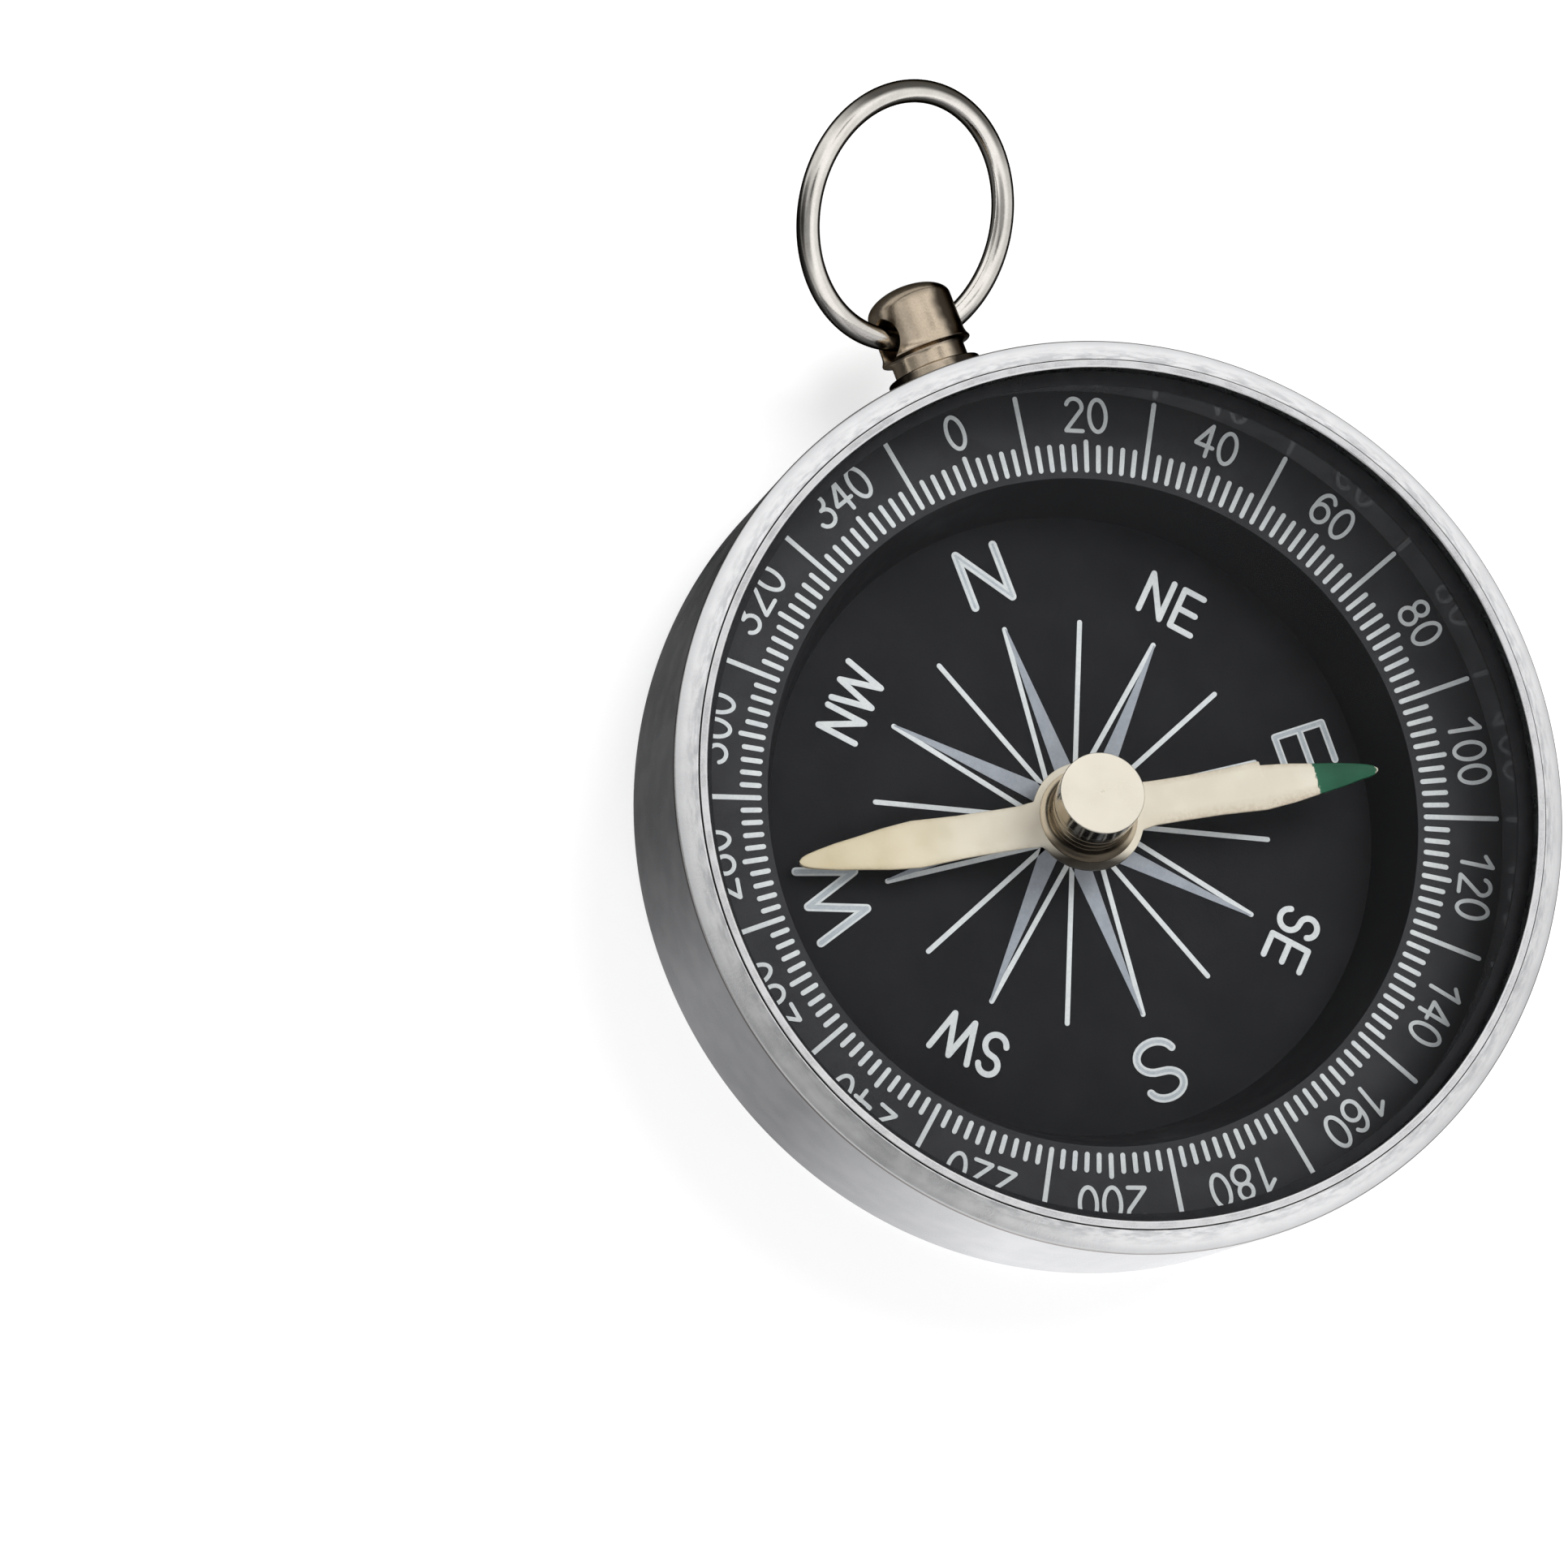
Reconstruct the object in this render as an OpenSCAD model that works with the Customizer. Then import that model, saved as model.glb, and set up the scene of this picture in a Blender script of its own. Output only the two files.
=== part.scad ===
// Pocket compass: an aluminium case with a crystal, a sunk dial, a needle on a pin, and a stem with a ring.
// Frame: the origin is the centre of the case's flat back, +Z is up through the crystal,
// +Y is north on the dial and points along the stem, and +X is east. Lengths are in millimetres.

/* [Case] */
// Outer radius of the case
case_r = 22; // [19:0.5:28]
// Thickness of the case's side wall
case_wall = 0.75; // [0.65:0.05:0.9]
// Thickness of the case's floor
case_floor = 0.5; // [0.4:0.05:0.9]
// Round between the floor and the side wall
case_round = 0.4; // [0.2:0.05:0.6]
// Width of the rolled rim, seen from above
rim_w = 1.1; // [1.05:0.05:1.4]
// Thickness of the rolled rim at its inner edge
rim_t = 0.37; // [0.3:0.01:0.5]
// Fall of the rim from its inner edge to its outer edge
rim_fall = 0.46; // [0.2:0.02:0.6]

/* [Bezel and crystal] */
// Width of the bezel's bright lip, seen from above
lip_w = 0.38; // [0.3:0.02:0.6]
// Height of the bezel's lip above the rolled rim
lip_rise = 0.05; // [0:0.01:0.2]
// Thickness of the bezel's foot, which the rim holds down
bezel_foot_t = 0.25; // [0.2:0.01:0.4]
// Thickness of the crystal
crystal_t = 0.7; // [0.5:0.05:1.2]
// Thickness of the gasket under the crystal
gasket_t = 0.2; // [0.1:0.02:0.4]
// Width of the gasket, which shows as a black edge inside the bezel's lip
gasket_w = 1.19; // [0.8:0.01:1.3]
// Height of the liner between the degree ring and the gasket
liner_h = 3.7; // [3.4:0.1:3.9]
// Thickness of the liner's wall
liner_wall = 0.4; // [0.3:0.02:0.6]

/* [Dial] */
// Thickness of the dial card
card_t = 0.22; // [0.15:0.01:0.4]
// Height of the degree ring's face above the card
band_h = 3.76; // [3.4:0.04:4]
// Width of the degree ring's face inside the liner
band_w = 4.42; // [4:0.02:5]
// How much narrower the well is at the card than at the ring's face
well_slope = 1; // [0.4:0.1:1.4]
// Thickness of the degree ring's walls
ring_wall = 0.8; // [0.6:0.05:1]
// Distance from the well's edge to the degree marks
mark_margin = 0.3; // [0.1:0.02:0.5]
// Width of a degree mark
mark_w = 0.25; // [0.16:0.01:0.34]
// How far the marks' outer ends run out of true, as in the photo
mark_run = 0.26; // [0:0.01:0.28]
// Where they reach furthest, clockwise from north
mark_run_turn = 55; // [0:5:355]
// Thickness of the printed ink
ink_t = 0.04; // [0.02:0.01:0.08]
// Width of the rose's lines
line_w = 0.25; // [0.16:0.01:0.36]
// Half width of a rose ray, measured at the rose's centre
ray_half_w = 1; // [0.7:0.05:1.3]
// How far the rose's centre lies north of the dial's, as in the photo
rose_shift = 0.14; // [0:0.01:0.2]
// Turn of the rose on the card, clockwise, as in the photo
rose_turn = 1.3; // [0:0.1:3]

/* [Pivot] */
// Radius of the pivot foot's flange
foot_r = 1.7; // [1.4:0.05:2]
// Height of the pivot foot above the card
foot_h = 0.6; // [0.5:0.05:0.8]
// Radius of the foot's rivet where it passes through the card
rivet_r = 0.88; // [0.75:0.01:1]
// Radius of the rivet's head in the case's back
rivet_head_r = 1.2; // [1.15:0.01:1.4]
// Radius of the pin
pin_r = 0.4; // [0.3:0.01:0.45]
// Height of the pin's sharp end
pin_point_h = 0.9; // [0.6:0.05:1.1]
// Height of the pin's tip above the needle's blade
pin_rise = 0.4; // [0.35:0.01:0.5]

/* [Needle] */
// Height of the blade's upper face above the card
blade_rise = 2.08; // [2:0.01:2.4]
// Thickness of the blade
blade_t = 0.25; // [0.15:0.01:0.3]
// Width of the blade at its widest
blade_w = 2.4; // [2:0.05:2.8]
// Radius of the blade's boss
boss_r = 2.77; // [2.65:0.01:3]
// Gap from the north tip to the well's wall at the card
tip_gap = 0.5; // [0.3:0.01:0.8]
// Depth of the small step in the blade's edge
notch_d = 0.2; // [0.05:0.01:0.25]
// Radius of the cap
cap_r = 2.1; // [2:0.01:2.2]
// Height of the cap above the blade
cap_h = 3.3; // [2.95:0.05:3.6]
// Height of the cap's head, above its groove
cap_head_h = 1.1; // [0.6:0.02:1.3]
// Radius of the cap's foot flange on the blade
cap_foot_r = 2.42; // [2.25:0.01:2.6]
// Height of that flange
cap_foot_h = 0.25; // [0.15:0.01:0.4]
// Depth of the cap's groove
cap_groove_d = 0.12; // [0.05:0.01:0.2]
// Width of the cap's groove
cap_groove_w = 0.14; // [0.1:0.01:0.2]
// Radius of the jewel
jewel_r = 1.2; // [1.15:0.01:1.25]
// Height of the jewel
jewel_h = 0.85; // [0.75:0.01:0.9]
// Wall of the cap's spigot, which passes through the blade
spigot_wall = 0.3; // [0.25:0.01:0.35]
// Thickness of the collar that holds the cap on the blade
collar_t = 0.35; // [0.25:0.01:0.4]
// Where the north tip points, clockwise from north
needle_turn = 100.2; // [0:0.1:360]
// How far the needle has rolled on its pin, as in the photo
needle_roll = 9; // [0:1:10]
// How far the needle's north arm has risen on its pin, as in the photo
needle_rise = 4; // [0:0.5:5]

/* [Stem] */
// Height of the stem's axis above the case's back
stem_z = 4.98; // [4.4:0.02:5.6]
// Radius of the washer between the case and the knob
washer_r = 2.33; // [2.2:0.01:2.6]
// How far the washer stands out of the case
washer_h = 0.72; // [0.5:0.02:0.9]
// Radius of the shank through the case's wall
shank_r = 1; // [0.8:0.01:1.05]
// Thickness of the collar on the shank's inner end
shank_collar_t = 0.3; // [0.25:0.01:0.32]
// Radius of the collar on the shank's inner end
shank_collar_r = 1.4; // [1.3:0.01:1.5]
// Radius of the knob's neck
neck_r = 1.85; // [1.7:0.01:1.95]
// Length of the neck, from the washer to the knob
neck_h = 0.98; // [0.6:0.02:1.2]
// Radius of the knob's flared lip
knob_lip_r = 2.28; // [2.2:0.01:2.4]
// Height of the knob's flared lip
knob_lip_h = 0.22; // [0.15:0.01:0.3]
// Radius of the knob
knob_r = 2.12; // [2.05:0.01:2.18]
// Height of the knob, from its lip to the top of its dome
knob_h = 3.5; // [3.4:0.05:4]
// Height of the knob's dome
dome_h = 1.15; // [0.9:0.05:1.3]
// Metal left between the knob's lip and the hole through the knob
eye_wall = 0.12; // [0.08:0.01:0.3]
// Width of the chamfer at each end of that hole
eye_chamfer = 0.08; // [0.04:0.01:0.1]
// Turn of the knob on its shank, as in the photo
knob_turn = 17; // [0:1:40]

/* [Ring] */
// Radius of the ring to the middle of its wire
ring_r = 6; // [5.5:0.1:7]
// Radius of the ring's wire
wire_r = 0.56; // [0.48:0.01:0.6]
// How far the ring is swung up out of the dial's plane, as in the photo
ring_lift = 29; // [0:1:60]
// Lean of the ring in the knob's hole, as in the photo
ring_lean = 3; // [0:0.5:4]
// Play of the ring's wire in that hole, at its tightest
eye_play = 0.05; // [0.03:0.01:0.15]

/* [Fits] */
// Gap between pieces that sit in one another
seat_gap = 0.03; // [0.02:0.01:0.04]
// Radial gap of a shaft that turns in its hole
turn_gap = 0.04; // [0.03:0.01:0.05]

/* [Hidden] */
$fn = 96;

// Overrun of a cut past the face it opens
over = case_floor / 5;
// Steps of an arc in a profile
arc_steps = 10;

// Radii, from the case's wall inwards
inner_r = case_r - case_wall;
stack_r = inner_r - seat_gap;
rim_in_r = case_r - rim_w;
sight_r = rim_in_r - seat_gap - lip_w;
liner_in_r = stack_r - liner_wall;
gasket_in_r = stack_r - gasket_w;
well_top_r = liner_in_r - band_w;
well_low_r = well_top_r - well_slope;

// Heights, from the case's back upwards
card_z = case_floor + card_t;
band_z = card_z + band_h;
liner_z = band_z + liner_h;
gasket_z = liner_z + gasket_t;
crystal_z = gasket_z + crystal_t;
bezel_foot_z = crystal_z + bezel_foot_t;
rim_low_z = bezel_foot_z + seat_gap;
rim_top_z = rim_low_z + rim_t;
rim_edge_z = rim_top_z - rim_fall;
bezel_z = rim_top_z + lip_rise;
rim_round = rim_t / 4;
lip_round = lip_w / 4;

// Degree marks: how many, and how far each kind reaches across the ring's face
mark_step = 2;
mark_count = 360 / mark_step;
mark_start_r = well_top_r + mark_margin;
short_share = 0.296;
middle_share = 0.355;
long_share = 0.922;
mark_room = liner_in_r - mark_start_r;

// Rose: its rays reach this share of the well's radius
rose_share = 0.66;
// Half width of a ray's line side, as a share of its filled side
line_side_share = 0.8;
rose_r = well_low_r * rose_share;
rose_hub_r = foot_r + line_w;

// Pivot and needle heights, with the blade's upper face as the needle's own level
blade_z = card_z + blade_rise;
foot_z = card_z + foot_h;
pin_tip_z = blade_z + pin_rise;
pin_low_z = card_z - card_t / 2;
rivet_head_h = case_floor / 2;

// Blade outline: places along each arm and half widths there, as shares of the arm and of the blade's width
north_arm = well_low_r - tip_gap;
south_arm_share = 0.97;
arm_shares = [0.14, 0.18, 0.22, 0.3, 0.44, 0.52, 0.6, 0.7, 0.79, 0.87, 0.93, 0.97, 0.99, 1];
half_w_shares = [0.54, 0.478, 0.448, 0.443, 0.452, 0.475, 0.5, 0.44, 0.35, 0.28, 0.205, 0.13, 0.07, 0];
notch_share = 0.61;

// Cap: its outside and its inside
spigot_r = jewel_r + spigot_wall;
spigot_low = blade_t + collar_t;
cap_body_r = cap_r - cap_groove_d / 2;
cap_edge = cap_groove_d / 2;
collar_r = cap_r;
jewel_low = pin_rise - jewel_h / 3;
jewel_mouth_r = jewel_r - spigot_wall;
cone_top = pin_rise + turn_gap;

// Stem places along +Y
washer_y = case_r + washer_h;
lip_y = washer_y + neck_h;
knob_top_y = lip_y + knob_h;
collar_pocket = shank_collar_t + seat_gap;
shank_low_y = inner_r + seat_gap;

// The knob's hole takes the wire's thickness, its bend and its lean over the knob's width
ring_sag = (ring_r - sqrt(ring_r * ring_r - knob_r * knob_r)) / 2;
eye_r = wire_r + ring_sag + knob_r * sin(ring_lean) + eye_play;
eye_y = lip_y + eye_wall + eye_r;

// A tube between two radii and two heights; an inner radius of 0 makes a plain disc
module tube(inner, outer, low, high) {
    translate([0, 0, low]) difference() {
        cylinder(r = outer, h = high - low);
        if (inner > 0) translate([0, 0, -over]) cylinder(r = inner, h = high - low + 2 * over);
    }
}

// A body of revolution about the stem's axis, from a profile of [radius, place along +Y]
module stem_turned(profile) {
    translate([0, 0, stem_z]) rotate([-90, 0, 0]) rotate_extrude() polygon(profile);
}

// A plain round cut or pin along the stem's axis
module stem_rod(radius, low, high) {
    translate([0, low, stem_z]) rotate([-90, 0, 0]) cylinder(r = radius, h = high - low);
}

// Points of a quarter arc from angle a to angle a + 90 about [x, y]
function quarter(x, y, radius, a) =
    [for (i = [0 : arc_steps]) [x + radius * cos(a + 90 * i / arc_steps), y + radius * sin(a + 90 * i / arc_steps)]];

// Places what is drawn with its blade's upper face at 0 and its north arm along +Y onto the pin
module on_pin() {
    translate([0, 0, pin_tip_z]) rotate([0, 0, -needle_turn]) rotate([needle_rise, 0, 0])
        rotate([0, -needle_roll, 0]) translate([0, 0, -pin_rise]) children();
}

// Places what is drawn about the knob's hole, which runs along the knob's own X
module at_eye() {
    translate([0, eye_y, stem_z]) rotate([0, knob_turn, 0]) children();
}

module case_shell() {
    color("silver") difference() {
        rotate_extrude() polygon(concat(
            [[0, 0]],
            quarter(case_r - case_round, case_round, case_round, -90),
            quarter(case_r - rim_round, rim_edge_z - rim_round, rim_round, 0),
            [[rim_in_r + rim_round, rim_top_z], [rim_in_r, rim_top_z - rim_round], [rim_in_r, rim_low_z],
            [inner_r, rim_low_z], [inner_r, case_floor], [0, case_floor]]));
        translate([0, 0, -over]) cylinder(r = rivet_r + seat_gap, h = case_floor + 2 * over);
        rotate_extrude() polygon([[0, -over], [rivet_head_r + seat_gap, -over], [rivet_head_r + seat_gap, 0],
            [rivet_r + seat_gap, rivet_head_h], [0, rivet_head_h]]);
        stem_rod(shank_r + turn_gap, inner_r - case_wall, case_r + over);
        stem_rod(shank_collar_r + turn_gap, inner_r - case_wall, inner_r + collar_pocket);
    }
}

module dial_card() {
    color("#17181b") tube(rivet_r + seat_gap, stack_r, case_floor, card_z);
}

// One ray: a filled half on its clockwise side, and a line for the other half's edge
module rose_ray() {
    tip = line_w / 2;
    spread = ray_half_w * (1 - rose_hub_r / rose_r);
    fill_w = spread + tip;
    line_side = spread * line_side_share + tip;
    linear_extrude(ink_t) {
        polygon([[0, rose_hub_r], [fill_w, rose_hub_r], [tip, rose_r], [-tip, rose_r], [0, rose_r - ray_half_w]]);
        polygon([[-line_side, rose_hub_r], [line_w - line_side, rose_hub_r], [0, rose_r - ray_half_w],
            [0, rose_r], [-tip, rose_r]]);
    }
}

module rose_print() {
    color("#c9ced6") translate([0, rose_shift, card_z]) rotate([0, 0, -rose_turn]) {
        for (a = [0 : 45 : 315]) rotate([0, 0, a]) rose_ray();
        for (a = [22.5 : 45 : 337.5]) rotate([0, 0, a])
            translate([-line_w / 2, rose_hub_r, 0]) cube([line_w, rose_r - rose_hub_r, ink_t]);
    }
}

module degree_ring() {
    color("#1b1c20") rotate_extrude() polygon([
        [well_low_r, card_z], [well_top_r, band_z], [stack_r, band_z], [stack_r, card_z],
        [stack_r - ring_wall, card_z], [stack_r - ring_wall, band_z - ring_wall],
        [well_top_r + ring_wall, band_z - ring_wall], [well_low_r + ring_wall, card_z]]);
}

// Length of the mark at a degrees: long at odd tens, middle at even tens, else short
function mark_length(a) = mark_run * cos(a - mark_run_turn)
    + mark_room * (a % 20 == 10 ? long_share : (a % 20 == 0 ? middle_share : short_share));

module degree_marks() {
    color("#d3d7dd") translate([0, 0, band_z])
        for (i = [0 : mark_count - 1]) rotate([0, 0, -i * mark_step])
            translate([-mark_w / 2, mark_start_r, 0])
                cube([mark_w, mark_length(i * mark_step), ink_t]);
}

module liner_ring() {
    color("#131417") tube(liner_in_r, stack_r, band_z, liner_z);
}

module crystal_gasket() {
    color("#2a2a2c") tube(gasket_in_r, stack_r, liner_z, gasket_z);
}

module crystal() {
    color("#dfe9ee", 0.25) tube(0, stack_r, gasket_z, crystal_z);
}

module bezel_ring() {
    color("gainsboro") rotate_extrude() polygon([
        [sight_r, crystal_z], [stack_r, crystal_z], [stack_r, bezel_foot_z],
        [rim_in_r - seat_gap, bezel_foot_z], [rim_in_r - seat_gap, bezel_z - lip_round],
        [rim_in_r - seat_gap - lip_round, bezel_z], [sight_r + lip_round, bezel_z],
        [sight_r, bezel_z - lip_round]]);
}

module pivot_foot() {
    color("goldenrod") difference() {
        rotate_extrude() polygon([
            [0, 0], [rivet_head_r, 0], [rivet_r, rivet_head_h], [rivet_r, card_z], [foot_r, card_z],
            [foot_r, foot_z - foot_h / 4], [foot_r - foot_h / 4, foot_z], [0, foot_z]]);
        translate([0, 0, pin_low_z]) cylinder(r = pin_r + seat_gap, h = foot_z - pin_low_z + over);
    }
}

module pivot_pin() {
    color("#b9bcc2") rotate_extrude() polygon([
        [0, pin_low_z], [pin_r, pin_low_z], [pin_r, pin_tip_z - pin_point_h], [0, pin_tip_z]]);
}

// Points along one side of the blade's arm, with what is added to its half width before and after the step
function arm_points(arm, side, before, after) = [for (i = [0 : len(arm_shares) - 1])
    [side * max(0, blade_w * half_w_shares[i] + (arm_shares[i] < notch_share ? before : after)),
    arm * arm_shares[i]]];

module needle_blade() {
    south = -north_arm * south_arm_share;
    last = len(arm_shares) - 1;
    east_side = arm_points(north_arm, 1, -notch_d / 2, -notch_d / 2);
    west_side = arm_points(north_arm, -1, notch_d, 0);
    step_x = -blade_w * half_w_shares[6];
    south_east = arm_points(south, 1, 0, 0);
    south_west = arm_points(south, -1, 0, 0);
    color("#e0d6c2") on_pin() translate([0, 0, -blade_t]) difference() {
        linear_extrude(blade_t) {
            polygon(concat(
                [for (i = [0 : last]) east_side[i]],
                [for (i = [last - 1 : -1 : 7]) west_side[i]],
                [[step_x, north_arm * notch_share], [step_x - notch_d, north_arm * notch_share]],
                [for (i = [6 : -1 : 0]) west_side[i]],
                [for (i = [0 : last]) south_west[i]],
                [for (i = [last - 1 : -1 : 0]) south_east[i]]));
            circle(r = boss_r);
        }
        translate([0, 0, -over]) cylinder(r = spigot_r + seat_gap, h = blade_t + 2 * over);
    }
}

module needle_cap() {
    groove_z = cap_h - cap_head_h;
    color("#e4dac6") on_pin() difference() {
        rotate_extrude() polygon([
            [0, -spigot_low], [spigot_r, -spigot_low], [spigot_r, 0], [cap_foot_r, 0],
            [cap_foot_r, cap_foot_h], [cap_body_r, cap_foot_h], [cap_body_r, groove_z - cap_groove_w],
            [cap_r - cap_groove_d, groove_z - cap_groove_w], [cap_r - cap_groove_d, groove_z],
            [cap_r, groove_z], [cap_r, cap_h - cap_edge], [cap_r - cap_edge, cap_h], [0, cap_h]]);
        translate([0, 0, -spigot_low - over])
            cylinder(r = jewel_r + seat_gap, h = jewel_low + jewel_h + spigot_low + over);
    }
}

module cap_collar() {
    color("#b08d57") on_pin() tube(spigot_r + seat_gap, collar_r, -spigot_low, -blade_t);
}

module jewel_cup() {
    color("#9c2f3a") on_pin() rotate_extrude() polygon([
        [0, cone_top], [jewel_mouth_r, jewel_low], [jewel_r, jewel_low],
        [jewel_r, jewel_low + jewel_h], [0, jewel_low + jewel_h]]);
}

module stem_washer() {
    color("#3c3a38") difference() {
        stem_rod(washer_r, inner_r, washer_y);
        translate([0, 0, -over]) cylinder(r = case_r + seat_gap / 2, h = bezel_z + 2 * over);
        stem_rod(shank_r + turn_gap, inner_r - over, washer_y + over);
    }
}

module stem_knob() {
    dome_y = knob_top_y - dome_h;
    color("#a59a86") difference() {
        stem_turned(concat(
            [[0, shank_low_y], [shank_r, shank_low_y], [shank_r, washer_y + turn_gap],
            [neck_r, washer_y + turn_gap], [neck_r, lip_y], [knob_lip_r, lip_y],
            [knob_lip_r, lip_y + knob_lip_h / 2], [knob_r, lip_y + knob_lip_h]],
            [for (i = [0 : arc_steps]) [knob_r * cos(90 * i / arc_steps), dome_y + dome_h * sin(90 * i / arc_steps)]]));
        at_eye() rotate([0, 90, 0]) translate([0, 0, -2 * knob_r]) cylinder(r = eye_r, h = 4 * knob_r);
        at_eye() for (side = [-1, 1]) rotate([0, 90 * side, 0]) translate([0, 0, knob_r - 2 * eye_chamfer])
            cylinder(r1 = eye_r, r2 = eye_r + 2 * eye_chamfer, h = 4 * eye_chamfer);
    }
}

module shank_collar() {
    color("#8d8f93") difference() {
        stem_rod(shank_collar_r, shank_low_y, shank_low_y + shank_collar_t - seat_gap);
        stem_rod(shank_r, shank_low_y - over, shank_low_y + shank_collar_t + over);
    }
}

module key_ring() {
    color("#c8c3bb") at_eye() rotate([ring_lift, 0, 0]) rotate([0, 0, ring_lean])
        translate([0, ring_r - ring_sag, 0]) rotate_extrude() translate([ring_r, 0]) circle(r = wire_r);
}

case_shell();
dial_card();
rose_print();
degree_ring();
degree_marks();
liner_ring();
crystal_gasket();
crystal();
bezel_ring();
pivot_foot();
pivot_pin();
needle_blade();
needle_cap();
cap_collar();
jewel_cup();
stem_washer();
stem_knob();
shank_collar();
key_ring();
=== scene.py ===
import math

import bmesh
import bpy
import numpy as np
from mathutils import Matrix, Vector
from mathutils.geometry import delaunay_2d_cdt


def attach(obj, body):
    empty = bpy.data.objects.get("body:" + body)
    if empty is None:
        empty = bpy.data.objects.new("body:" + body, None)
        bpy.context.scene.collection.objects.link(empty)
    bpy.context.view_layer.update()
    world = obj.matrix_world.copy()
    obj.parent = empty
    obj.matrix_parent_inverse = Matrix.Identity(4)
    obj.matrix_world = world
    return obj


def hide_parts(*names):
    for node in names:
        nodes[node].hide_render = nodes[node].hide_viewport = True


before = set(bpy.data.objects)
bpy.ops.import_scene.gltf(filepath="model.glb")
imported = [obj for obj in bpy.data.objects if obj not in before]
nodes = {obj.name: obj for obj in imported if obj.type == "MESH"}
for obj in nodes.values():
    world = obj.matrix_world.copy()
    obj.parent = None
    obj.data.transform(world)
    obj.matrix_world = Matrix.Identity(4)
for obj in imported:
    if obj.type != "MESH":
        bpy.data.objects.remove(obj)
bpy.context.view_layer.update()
scene = bpy.context.scene
mm = 0.001
wideSteps = 288  # segments of the wide turned pieces
metal = {"Metallic": 1.0}
white = (1, 1, 1, 1)


def setAll(made, settings):
    for key, value in settings.items():
        setattr(made, key, value)
    return made


class Named:
    # A dictionary's values by their names, such as s.width
    def __init__(self, values):
        setAll(self, values)


def addObject(name, data):
    made = bpy.data.objects.new(name, data)
    scene.collection.objects.link(made)
    return made


def turnAbout(axis, degrees):
    return Matrix.Rotation(math.radians(degrees), 4, axis)


def aimed(place, direction, axis):
    # The matrix of a camera or lamp: its place in metres, and that axis of its own along the direction
    return Matrix.Translation(place) @ direction.to_track_quat(axis, "Y").to_matrix().to_4x4()


# Camera: the photo's place, aim and turn, in millimetres and degrees

cameraView = dict(
    place=(-78.476, -17.246, 212.014), aim=(-14.388, 6.009, 4.48), turn=50.284, lens=105.8, sensor=36,
    clip=(0.01, 20),  # metres
)


def makeCamera(values):
    v = Named(values)
    data = bpy.data.cameras.new("photo_camera")
    data.lens, data.sensor_width = v.lens, v.sensor
    data.clip_start, data.clip_end = v.clip
    camera = addObject("photo_camera", data)
    place = Vector(v.place) * mm
    camera.matrix_world = aimed(place, Vector(v.aim) * mm - place, "-Z") @ turnAbout("Z", v.turn)
    scene.camera = camera


makeCamera(cameraView)
print("camera ready")


# Mesh helpers. Shapes are worked out in millimetres; meshPiece turns them to metres

def polar(turn):
    return np.stack([np.cos(turn), np.sin(turn)], -1)


def fullTurn(steps):
    return np.arange(steps) * 2 * math.pi / steps


def ramp(value, start, length, top=1):
    # 0 up to the start, then up to top over that length
    return top * np.clip((value - start) / length, 0, 1)


def meshPiece(name, points, faces, place=None, sharp=32, values=None, slots=None):
    # place: 4 x 4 matrix in millimetres. values: name -> number per point. slots: material index per face
    mesh = bpy.data.meshes.new(name)
    mesh.from_pydata(points.tolist(), [], [list(map(int, f)) for f in faces])
    for key, numbers in (values or {}).items():
        mesh.attributes.new(key, "FLOAT", "POINT").data.foreach_set("value", np.asarray(numbers, np.float32))
    if slots is not None:
        mesh.polygons.foreach_set("material_index", np.asarray(slots, np.int32))
    mesh.transform(Matrix.Scale(mm, 4) @ (place or Matrix.Identity(4)))
    work = bmesh.new()
    work.from_mesh(mesh)
    bmesh.ops.recalc_face_normals(work, faces=work.faces)
    work.to_mesh(mesh)
    work.free()
    shade(mesh, sharp)
    return addObject(name, mesh)


def shade(mesh, sharp):
    mesh.polygons.foreach_set("use_smooth", np.ones(len(mesh.polygons), bool))
    mesh.set_sharp_from_angle(angle=math.radians(sharp))
    mesh.update()


def gridFaces(rows, columns, closed):
    # Rows of closed loops; closed joins the last row to the first one
    r = np.arange(rows if closed else rows - 1)
    r, c = (v.ravel() for v in np.meshgrid(r, np.arange(columns), indexing="ij"))
    rNext, cNext = (r + 1) % rows, (c + 1) % columns
    return np.stack([r * columns + c, r * columns + cNext, rNext * columns + cNext, rNext * columns + c], -1)


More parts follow.
